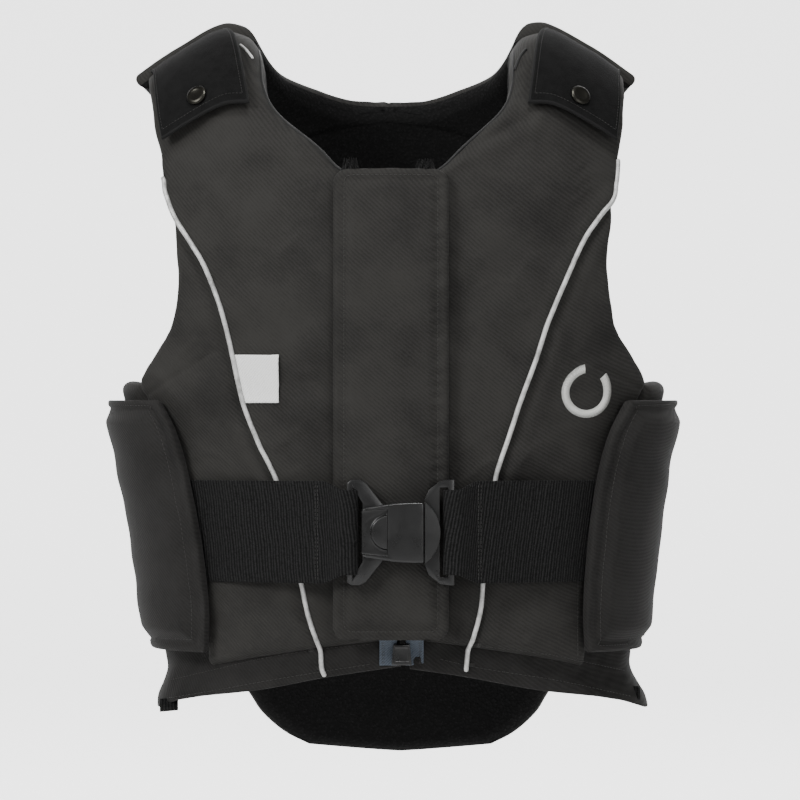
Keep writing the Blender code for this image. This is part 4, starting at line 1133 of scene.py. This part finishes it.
def elastic_path(side, bar, z):
    """Plan points of a strap at a height: from the wing, round the bar, and back behind itself."""
    lie = FOAM + GAP + ELASTIC / 2
    over_piping = FOAM + 3 * GAP + PIPING_DIAMETER + ELASTIC / 2
    doubled = PLACKET_FACE + 4 * GAP + ELASTIC * 1.5
    level = (z + CHEST_DROP) / TRUNK_LENGTH
    reach = HALF_WIDTH * float(read(SECTIONS, 1, level)) + lie
    folded = side * bar + ELASTIC_FOLD_BACK
    edge = side * bar + ELASTIC_FOLD_BACK * 0.25

    def resting(x):
        low = smooth_step(x, edge, folded * 1.35)
        settled = smooth_step(x, folded * 1.35, reach * 0.80)
        return doubled + (over_piping - doubled) * low + (lie - over_piping) * settled

    centre = bar_depth(bar)
    first = reach * math.sin(math.radians(ELASTIC_END_TURN)) ** (2 / SIDE_SQUARENESS)
    last = side * bar + BUCKLE_BAR * 0.75
    x = first + (last - first) * (1 - (1 - np.linspace(0, 1, 110)) ** 1.25)
    rest = front_depth(side * x, resting(x), z)
    near = 1 - smooth_step(x, last, last + ELASTIC_FOLD_BACK * 0.4)
    outer = np.column_stack([side * x, rest + (centre - LOOP_RADIUS - rest) * near])
    angle = np.linspace(0, np.pi, 15)
    loop = np.column_stack([bar - side * np.sin(angle) * LOOP_RADIUS, centre - np.cos(angle) * LOOP_RADIUS])
    x = side * bar + ELASTIC_FOLD_BACK * np.linspace(0, 1, 32)[1:]
    under = np.column_stack([side * x, front_depth(side * x, resting(x) - ELASTIC - GAP, z)])
    return np.concatenate([outer, loop, under])


def ribbed_elastic(name, colour, shade):
    """Knitted elastic, matt black: upright ribs 2.2 mm apart with small loops of yarn showing between them.

    The real loops are under a millimetre and are drawn a little coarser.
    """
    material, shader = new_material(name, colour, 0.8, Specular_IOR_Level=0.15, Sheen_Weight=0.01)
    uv = node(material, "ShaderNodeUVMap", (-1400, 0), uv_map="cloth")
    ribs = node(material, "ShaderNodeTexWave", (-1100, 200), {
        "Vector": uv.outputs[0], "Scale": 0.314 / 0.0022, "Distortion": 0.8, "Detail": 1.0}, bands_direction="X")
    squeezed = node(material, "ShaderNodeMapping", (-1250, -150), {0: uv.outputs[0], "Scale": (1.0, 1.7, 1.0)})
    loops = node(material, "ShaderNodeTexVoronoi", (-1050, -150), {"Vector": squeezed.outputs[0], "Scale": 620.0})
    yarn = node(material, "ShaderNodeTexNoise", (-1050, -400), {"Vector": uv.outputs[0], "Scale": 500.0, "Detail": 3.0})
    pitted = node(material, "ShaderNodeMath", (-800, 0), {0: loops.outputs[0], 1: -0.9, 2: ribs.outputs[1]},
                  operation="MULTIPLY_ADD")
    height = node(material, "ShaderNodeMath", (-650, -100), {0: yarn.outputs[0], 1: 0.9, 2: pitted.outputs[0]},
                  operation="MULTIPLY_ADD")
    ramp = node(material, "ShaderNodeValToRGB", (-450, 0), {0: height.outputs[0]},
                stops=((0.15, shade), (1.0, colour)))
    bump = node(material, "ShaderNodeBump", (-250, -250), {
        "Strength": 0.7, "Distance": 0.0005, "Height": height.outputs[0]})
    return linked(material, shader, Base_Color=ramp, Normal=bump)


elastic_cloth = ribbed_elastic("elastic knitted black", "212121", "040404")
elastics = {}
for side, word, bar in ((1, "left", PLUG_BAR), (-1, "right", SOCKET_BAR)):
    lines = []
    for share in np.linspace(0, 1, 40):
        path = elastic_path(side, bar, -ELASTIC_TOP - ELASTIC_WIDTH * share)
        near_bar = 1 - smooth_step(np.abs(path[:, 0] - bar), 0.003, 0.020)
        height = ELASTIC_WIDTH - 2 * BUCKLE_SLOT * near_bar
        z = -ELASTIC_TOP - BUCKLE_SLOT * near_bar - height * share
        free = smooth_step(np.abs(path[:, 0] - bar), 0.012, 0.030)
        puckers = 0.00025 * np.sin(path[:, 0] / 0.0052 * math.tau + 3 * share) * free
        lines.append(np.column_stack([path[:, 0], path[:, 1] + puckers, z]))
    strap = np.array(lines)
    area, uv = grid_size(strap)
    elastics[side] = sheet_between(f"waist_elastic_{word}_strap", strap, ELASTIC, uv, (elastic_cloth,))
    rim = elastics[side].modifiers.new("soft edge", "BEVEL")
    rim.width = 0.0007
    rim.segments = 2
    rim.limit_method = "ANGLE"
    rim.angle_limit = math.radians(50)
    apply_modifiers(elastics[side])
    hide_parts(f"waist_elastic_{word}")


# Buckle: a wide side-release buckle in black acetal, fastened, lying over the placket.
# The socket has a hollow body with a recess for the thumb, and the plug a half-moon base behind its slot.
BUCKLE_THICKNESS = 0.0118
BODY_LENGTH = 0.0435
BODY_HEIGHT = 0.045
FRAME_HEIGHT = 0.0735
BUCKLE_ARM = 0.0054
PLUG_BASE = 0.0110
RECESS_LENGTH = 0.0165
RECESS_HEIGHT = 0.0335
THUMB_RADIUS = 0.0118
THUMB_DROP = 0.0012
BODY_TAPER = (0.76, 0.80, 0.86, 0.905, 0.93, 0.94, 0.94)
buckle_back = float(front_depth(ZIP_OFFSET, PLACKET_FACE + 3 * GAP))
buckle_front = buckle_back - BUCKLE_THICKNESS
buckle_middle = (buckle_front + buckle_back) / 2
SEAM = SOCKET_BAR + BUCKLE_BAR / 2 + BUCKLE_SLOT + BODY_LENGTH
BODY_LEFT = SEAM - BODY_LENGTH


def block(low, high):
    """Cube primitive between two corners."""
    low, high = Vector(low), Vector(high)
    bpy.ops.object.select_all(action="DESELECT")
    bpy.ops.mesh.primitive_cube_add(size=1, location=(low + high) / 2, scale=high - low)
    bpy.ops.object.transform_apply(location=True, rotation=False, scale=True)
    return bpy.context.object


def squeeze(test, height_share):
    """Draws the corners of the active piece that pass a test towards the buckle's middle height."""
    bpy.ops.object.mode_set(mode="EDIT")
    bpy.ops.mesh.select_mode(type="VERT")
    bpy.ops.mesh.select_all(action="DESELECT")
    shape = bmesh.from_edit_mesh(bpy.context.object.data)
    for corner in shape.verts:
        corner.select_set(bool(test(corner.co)))
    shape.select_flush(True)
    bmesh.update_edit_mesh(bpy.context.object.data)
    bpy.ops.transform.resize(value=(1, 1, height_share), center_override=(0, buckle_middle, BUCKLE_MIDDLE))
    bpy.ops.object.mode_set(mode="OBJECT")


def cut(piece, cutter, operation="DIFFERENCE"):
    """Cuts a piece with another, or joins the two, and leaves the piece alone and selected."""
    step = piece.modifiers.new("cut", "BOOLEAN")
    step.operation = operation
    step.solver = "EXACT"
    step.object = cutter
    apply_modifiers(piece)
    bpy.data.objects.remove(cutter, do_unlink=True)


def frame_block(low_x, high_x, depth, tall):
    """Flat block as thick as the buckle's frames, tall to each side of its middle."""
    return block((low_x, depth - BUCKLE_FRAME_THICKNESS / 2, BUCKLE_MIDDLE - tall),
                 (high_x, depth + BUCKLE_FRAME_THICKNESS / 2, BUCKLE_MIDDLE + tall))


def deepened(depth):
    """Makes the active cutter three times as thick about a depth, so that it cuts right through."""
    bpy.ops.object.mode_set(mode="EDIT")
    bpy.ops.mesh.select_all(action="SELECT")
    bpy.ops.transform.resize(value=(1, 3, 1), center_override=(0, depth, BUCKLE_MIDDLE))
    bpy.ops.object.mode_set(mode="OBJECT")


def sliced(piece, place, normal):
    """Cuts away what lies past a plane, and closes the cut."""
    bpy.context.view_layer.objects.active = piece
    bpy.ops.object.mode_set(mode="EDIT")
    bpy.ops.mesh.select_all(action="SELECT")
    bpy.ops.mesh.bisect(plane_co=place, plane_no=Vector(normal).normalized(), use_fill=True, clear_outer=True,
                        threshold=0.000001)
    bpy.ops.object.mode_set(mode="OBJECT")


tall = FRAME_HEIGHT / 2
inner = tall - BUCKLE_ARM
half = BODY_HEIGHT / 2
socket_depth = bar_depth(SOCKET_BAR)
socket = frame_block(SOCKET_BAR - BUCKLE_BAR / 2, BODY_LEFT + 0.024, socket_depth, tall)
for up in (1, -1):
    sliced(socket, (SOCKET_BAR + 0.0070, 0, BUCKLE_MIDDLE + up * tall), (0.0021, 0, up * 0.0041))
    sliced(socket, (SOCKET_BAR + 0.0112, 0, BUCKLE_MIDDLE + up * (tall - 0.0021)), (0.0051, 0, up * 0.0040))
    sliced(socket, (SOCKET_BAR - 0.0021, 0, BUCKLE_MIDDLE + up * (tall - 0.0022)), (-0.0022, 0, up * 0.0030))
slot_left = SOCKET_BAR + BUCKLE_BAR / 2
slot = frame_block(slot_left, BODY_LEFT + 0.0004, socket_depth, inner)
deepened(socket_depth)
squeeze(lambda corner: corner.x > slot_left + 0.003, (half - 0.002) / inner)
cut(socket, slot)
bevelled(socket, 0.0009, 2)

body = block((BODY_LEFT, buckle_front, BUCKLE_MIDDLE - half), (SEAM, buckle_back, BUCKLE_MIDDLE + half))
bpy.ops.object.mode_set(mode="EDIT")
bpy.ops.mesh.select_all(action="SELECT")
bpy.ops.mesh.subdivide(number_cuts=5)
bpy.ops.object.mode_set(mode="OBJECT")
for k in range(7):
    here = BODY_LEFT + BODY_LENGTH * k / 6
    squeeze(lambda corner: abs(corner.x - here) < 0.001, BODY_TAPER[k])
bevelled(body, 0.0017, 4, 60)
recess_end = BODY_LEFT + 0.0016 + RECESS_LENGTH
recess = block((BODY_LEFT - 0.005, buckle_front - 0.01, BUCKLE_MIDDLE - RECESS_HEIGHT / 2),
               (recess_end, buckle_front + 0.0034, BUCKLE_MIDDLE + RECESS_HEIGHT / 2))
squeeze(lambda corner: corner.x < BODY_LEFT, 0.88)
bpy.ops.object.select_all(action="DESELECT")
bpy.ops.mesh.primitive_cylinder_add(
    vertices=64, radius=THUMB_RADIUS, depth=0.04, rotation=(math.pi / 2, 0, 0),
    location=(recess_end, buckle_front + THUMB_DROP + 0.02, BUCKLE_MIDDLE))
thumb = bpy.context.object
bpy.ops.object.transform_apply(location=True, rotation=True, scale=True)
cut(recess, thumb)
bevelled(recess, 0.0010, 3, 60)
cut(body, recess)
bevelled(body, 0.00035, 2, 50)
cut(socket, body, "UNION")
hollow = block((SEAM - 0.003, buckle_middle - 0.0029, BUCKLE_MIDDLE - half + 0.0045),
               (SEAM + 0.003, buckle_middle + 0.0029, BUCKLE_MIDDLE + half - 0.0045))
cut(socket, hollow)
bpy.ops.object.shade_smooth_by_angle(angle=math.radians(35))
settle(socket, "buckle_socket_moulded", acetal, "buckle_socket")

near = SEAM + GAP
base = near + PLUG_BASE
bar_right = PLUG_BAR + BUCKLE_BAR / 2
plug_depth = bar_depth(PLUG_BAR)
plug = frame_block(near, bar_right, plug_depth, tall)
for up in (1, -1):
    sliced(plug, (near, 0, BUCKLE_MIDDLE + up * half), (-0.0070, 0, up * 0.0028))
    sliced(plug, (near + 0.0028, 0, BUCKLE_MIDDLE + up * (half + 0.0070)), (-0.0055, 0, up * 0.0070))
    sliced(plug, (near + 0.0095, 0, BUCKLE_MIDDLE + up * (tall - 0.0012)), (-0.0014, 0, up * 0.0083))
slot = frame_block(base - 0.0006, PLUG_BAR - BUCKLE_BAR / 2, plug_depth, inner)
deepened(plug_depth)
cut(plug, slot)
bevelled(plug, 0.0009, 2)
bpy.ops.object.select_all(action="DESELECT")
moon_radius = half + 0.004
bpy.ops.mesh.primitive_cylinder_add(
    vertices=96, radius=moon_radius, depth=BUCKLE_THICKNESS - 0.0012,
    location=(base - moon_radius, buckle_middle, BUCKLE_MIDDLE), rotation=(math.pi / 2, 0, 0))
moon = bpy.context.object
bpy.ops.object.transform_apply(location=True, rotation=True, scale=True)
sliced(moon, (near, 0, 0), (-1, 0, 0))
bevelled(moon, 0.0012, 3)
cut(plug, moon, "UNION")
bpy.ops.object.shade_smooth_by_angle(angle=math.radians(35))
settle(plug, "buckle_plug_moulded", acetal, "buckle_plug")


# Stitching: charcoal polyester thread, lockstitched at about 3 mm, sunk a little into the cloth.
# It holds the foam along the placket, wings and hem, and sews down the elastics, flaps and zip tapes.
STITCH = 0.0032
THREAD = 0.00042


def thread_shape(points, faces, first, middle, last, radius=THREAD / 2):
    """Adds one short thread: a five-sided strand from one place over a middle to another."""
    line = np.array([first, (first + middle * 3) / 4, middle, (last + middle * 3) / 4, last])
    ahead = (last - first) / max(np.linalg.norm(last - first), 1e-9)
    side = np.cross(ahead, (0.0, 1.0, 0.0) if abs(ahead[1]) < 0.9 else (1.0, 0.0, 0.0))
    side /= np.linalg.norm(side)
    up = np.cross(ahead, side)
    angle = np.linspace(0, math.tau, 5, endpoint=False)
    base = len(points)
    for spot, full in zip(line, (0.5, 0.95, 1.0, 0.95, 0.5)):
        for a in angle:
            points.append(spot + radius * full * (math.cos(a) * side + math.sin(a) * up))
    for ring in range(4):
        for k in range(5):
            here, there = base + ring * 5 + k, base + ring * 5 + (k + 1) % 5
            faces.append((here, there, there + 5, here + 5))
    faces.append(tuple(base + k for k in range(4, -1, -1)))
    faces.append(tuple(base + 20 + k for k in range(5)))


def sewn(name, material, lines, pitch=STITCH, radius=THREAD / 2):
    """Stitches along lines of surface points and normals, as one piece."""
    points, faces = [], []
    for route, facing in lines:
        run = np.concatenate([[0], np.cumsum(np.linalg.norm(np.diff(route, axis=0), axis=1))])
        count = max(int(round(run[-1] / pitch)), 1)
        places = np.linspace(0, run[-1], count + 1)
        for start in places[:-1]:
            at = start + (places[1] - places[0]) * np.array([0.08, 0.5, 0.92])
            spots = np.column_stack([np.interp(at, run, route[:, k]) for k in range(3)])
            out = np.column_stack([np.interp(at, run, facing[:, k]) for k in range(3)])
            thread_shape(points, faces, spots[0] - out[0] * radius * 0.5, spots[1] + out[1] * radius * 0.9,
                         spots[2] - out[2] * radius * 0.5, radius)
    piece = faced_out(mesh_of(name, points, faces, None, None, (material,)))


def spun_thread(name, colour, shade):
    """Twisted thread: a slight gloss, with a slanting twist drawn every 0.8 mm."""
    material, shader = new_material(name, colour, 0.5, Specular_IOR_Level=0.4)
    place = node(material, "ShaderNodeTexCoord", (-900, 0))
    twist = node(material, "ShaderNodeTexWave", (-650, 0), {
        "Vector": place.outputs["Object"], "Scale": 0.314 / 0.0007}, bands_direction="DIAGONAL")
    ramp = node(material, "ShaderNodeValToRGB", (-400, 0), {0: twist.outputs[1]},
                stops=((0.0, shade), (1.0, colour)))
    bump = node(material, "ShaderNodeBump", (-250, -200), {
        "Strength": 0.5, "Distance": 0.0001, "Height": twist.outputs[1]})
    return linked(material, shader, Base_Color=ramp, Normal=bump)


def front_line(tree, line, step=0.0011):
    return from_front(tree, smooth_line(line, step))


def onto(tree, points):
    """Nearest surface points and outward normals for a line of places just outside a surface."""
    route, facing = [], []
    for point in points:
        hit, normal, _, _ = tree.find_nearest(Vector(point))
        away = Vector(point) - hit
        route.append(hit)
        facing.append(normal if normal.dot(away) > 0 else -normal)
    return np.array(route), np.array(facing)


dark_thread = spun_thread("polyester thread charcoal", "3a3937", "201f1e")
placket_tree = surface_of(placket)
# The seam round the placket as seen from the front, in millimetres, and the turn at its corners
left, right, top, foot, turn = -34.3, 31.3, -86.4, -406.0, 5.0
placket_lines = [
    [(left, top - turn), (left, (top + foot) / 2), (left, foot + turn)],
    [(right, top - turn), (right, (top + foot) / 2), (right, foot + turn)],
    [(left, top - turn), (left + 1.4, top - 1.4), (left + turn, top)],
    [(right, top - turn), (right - 1.4, top - 1.4), (right - turn, top)],
    [(left, foot + turn), (left + 1.4, foot + 1.4), (left + turn, foot)],
    [(right, foot + turn), (right - 1.4, foot + 1.4), (right - turn, foot)],
    [(left + turn, top), (right - turn, top)], [(left + turn, foot), (right - turn, foot)],
]
sewn("placket_stitching", dark_thread, [front_line(placket_tree, line) for line in placket_lines])

HEM_LINES = (
    [(-162.3, -445.5), (-129.1, -436), (-93.4, -426.6), (-51.1, -419.1), (-16, -415.5)],
    [(30, -412), (53.9, -415.6), (110.5, -423.4), (132, -429), (166, -438)],
    [(-162.3, -457.6), (-100.5, -444.3), (-47.6, -434.5), (-16, -429.5)],
    [(32.9, -426), (57.5, -431.8), (110, -441), (140, -448), (170, -456)],
    [(-134.2, -371.1), (-134.2, -429.8)], [(130.6, -367.5), (130.6, -427.5)],
)
sewn("hem_stitching", dark_thread, [front_line(dressed, line) for line in HEM_LINES])
tape_tree = surface_of(bpy.data.objects["zip_tape_left_cloth"], bpy.data.objects["zip_tape_right_cloth"])
ZIP_SEAMS = (-7.6, -6.4, 18.4, 19.6)
sewn("zip_tape_stitching", dark_thread, [
    front_line(tape_tree, [(x, -413.5), (x, -429.5)], 0.0005) for x in ZIP_SEAMS], 0.0024)

WING_SEAM = 0.0064
wing_lines = []
for side in (1, -1):
    tree = surface_of(wings[side])
    point = wing_point(side)
    rows = np.linspace(0, len(WING_ROWS) - 1, 120)
    width = np.linalg.norm(np.diff(point(np.linspace(0, 1, 40)[None, :], rows[:, None]), axis=1), axis=2).sum(1)
    height = np.linalg.norm(np.diff(point(0.0, rows), axis=0), axis=1).sum()
    low = WING_SEAM / height * (len(WING_ROWS) - 1)
    inner = (rows > low) & (rows < rows[-1] - low)
    edge = point(WING_SEAM / width[inner], rows[inner], WING)
    across = np.linspace(WING_SEAM / width[0], 1 - WING_SEAM / width[0], 130)
    ends = [point(across, np.full_like(across, at), WING) for at in (low, rows[-1] - low)]
    wing_lines += [onto(tree, line) for line in (edge, *ends)]
sewn("wing_stitching", dark_thread, wing_lines)

STRAP_SEAMS = ((-1, -52.5), (1, 59.6))
strap_lines = []
for side, x in STRAP_SEAMS:
    tree = surface_of(elastics[side])
    for shift in (0, 1.8 * side):
        strap_lines.append(front_line(tree, [(x + shift, -303.0), (x + shift, -369.8)]))
sewn("elastic_stitching", dark_thread, strap_lines, 0.0028)

FLAP_SEAMS = (0.045, 0.955)
FLAP_SEAM_FOOT = 2.86
flap_lines = []
for side in (1, -1):
    tree = surface_of(flaps[side])
    point = flap_point(side)
    at = np.linspace(0.12, FLAP_SEAM_FOOT, 70)
    flap_lines += [onto(tree, point(np.full_like(at, share), at, FLAP + 0.001)) for share in FLAP_SEAMS]
    share = np.linspace(*FLAP_SEAMS, 60)
    flap_lines.append(onto(tree, point(share, np.full_like(share, FLAP_SEAM_FOOT), FLAP + 0.001)))
sewn("flap_stitching", dark_thread, flap_lines, 0.0026, 0.00017)

silver_tree = surface_of(pipings[1], pipings[-1], *bands.values(), *fronts.values())
BARTACKS = ((-57.3, -420.0), (-52.0, -432.6), (59.6, -416.0), (55.4, -430.4))
bartacks = []
for x, z in BARTACKS:
    for k in range(6):
        row = z + (k - 2.5) * 0.42
        bartacks.append(front_line(silver_tree, [(x - 3.0, row), (x + 3.0, row)], 0.0005))
sewn("piping_bartacks", dark_thread, bartacks, 0.006, 0.00022)


# Embroidered motif: a small plain horseshoe in white rayon, satin stitched on the left of the chest.
# The threads lie side by side across the band of the shoe, so it stands a little off the twill.
MOTIF_MIDDLE = np.array([0.1363, -0.2388])
MOTIF_LEAN = math.radians(22)
MOTIF_RADIUS = 0.0150
MOTIF_BAND = 0.0056
# Rayon thread: whiter and smoother than the seams' thread
white_thread = spun_thread("rayon thread white", "e6e6e2", "bdbdb9")
motif = []
for angle in np.radians(np.arange(-62, 242.1, 2.1)):
    stretch = 1 + 0.18 * max(-math.sin(angle), 0)
    ends = []
    for reach in (MOTIF_RADIUS - MOTIF_BAND / 2, MOTIF_RADIUS, MOTIF_RADIUS + MOTIF_BAND / 2):
        x, z = reach * math.cos(angle), -reach * math.sin(angle) * stretch
        ends.append(MOTIF_MIDDLE + (x * math.cos(MOTIF_LEAN) + z * math.sin(MOTIF_LEAN),
                                    -x * math.sin(MOTIF_LEAN) + z * math.cos(MOTIF_LEAN)))
    motif.append(from_front(dressed, ends))
points, faces = [], []
for route, facing in motif:
    thread_shape(points, faces, route[0], route[1] + facing[1] * 0.0006, route[2], 0.00032)
motif_piece = mesh_of("horseshoe_motif", points, faces, None, None, (white_thread,))


# Small edges: a thin bound edge round the neck of the fronts, bits of the piping tape and cord caught in the
# shoulder seams, and the tape ends that show under the hem's corners.
# Narrow woven nylon tape: dull, with a fine grain of its weave
binding = smooth_black("nylon tape woven black", "1c1c1c", 0.6, 0.0009, 0.6, Specular_IOR_Level=0.3)
# Middles of the tape ends under the hem's corners, as seen from the front in millimetres
HEM_CORNERS = {1: (170.5, -455.5), -1: (-160.5, -464.0)}
HEM_CORNER_DEPTH = -0.03
for side, word in ((1, "left"), (-1, "right")):
    at = np.linspace(10.2, 18.0, 120)
    route = front_point(side)(np.zeros_like(at), at, FOAM * 0.72)
    edge, facing = onto(surface_of(fronts[side]), route + np.array((0, -0.002, 0.001)))
    neck = tube(f"neck_binding_{word}", softened(edge, 10), 0.0011, binding, 8)
    x, z = HEM_CORNERS[side]
    share, down = np.meshgrid(np.linspace(-1, 1, 9), np.linspace(0, 1, 8))
    base = from_front(dressed, [(x / 1000, (z + 6) / 1000)])[0]
    depth = base[0, 1] if len(base) else HEM_CORNER_DEPTH
    tab = np.stack([x / 1000 + share * 0.0065, depth + 0.004 - 0.004 * np.sin(down * 2.2) + 0.0006 * share**2,
                    (z + 6 - 8.5 * down) / 1000 - 0.0006 * share * side], -1)
    _, tab_uv = grid_size(tab)
    corner = sheet_between(f"hem_corner_tape_{word}", tab, 0.0012, tab_uv, (elastic_cloth,))

# Frayed ends of the binding that stand up beside the top of the zip
for word, middle, width, foot_z in (("right", -0.0300, 0.0135, -0.0840), ("left", 0.0225, 0.0165, -0.0850)):
    share, down = np.meshgrid(np.linspace(-1, 1, 26), np.linspace(0, 1, 14))
    ragged = 0.0020 * np.sin(share * 17 + middle * 900) + 0.0012 * np.sin(share * 41)
    x = middle + width / 2 * share * (1 - 0.35 * (1 - down))
    z = foot_z + (0.0090 + ragged * 0.6 * (1 - down)) * (1 - down)
    y = on_front(middle, foot_z, FOAM + 0.0010)[1] + 0.0030 * (1 - down) + 0.0006 * np.sin(share * 9 + down * 5)
    bit = np.stack([x, y, z], -1)
    _, bit_uv = grid_size(bit)
    scrap_cloth = sheet_between(f"binding_end_{word}", bit, 0.0006, bit_uv, (elastic_cloth,))

shoulder_tree = surface_of(back, *fronts.values(), *flaps.values())
scrap, facing = front_line(shoulder_tree, [(-110.0, 10.5), (-105.5, 6.5), (-100.2, -0.5)])
scrap_piece = tube("shoulder_piping_end", softened(scrap + facing * 0.0004), 0.0010, silver, 10)
cord_line, facing = front_line(shoulder_tree, [(87.0, -9.0), (91.0, 1.0), (95.5, 7.0)])
seam_cord = tube("shoulder_seam_cord", softened(cord_line + facing * 0.0004), 0.0012, binding, 10)
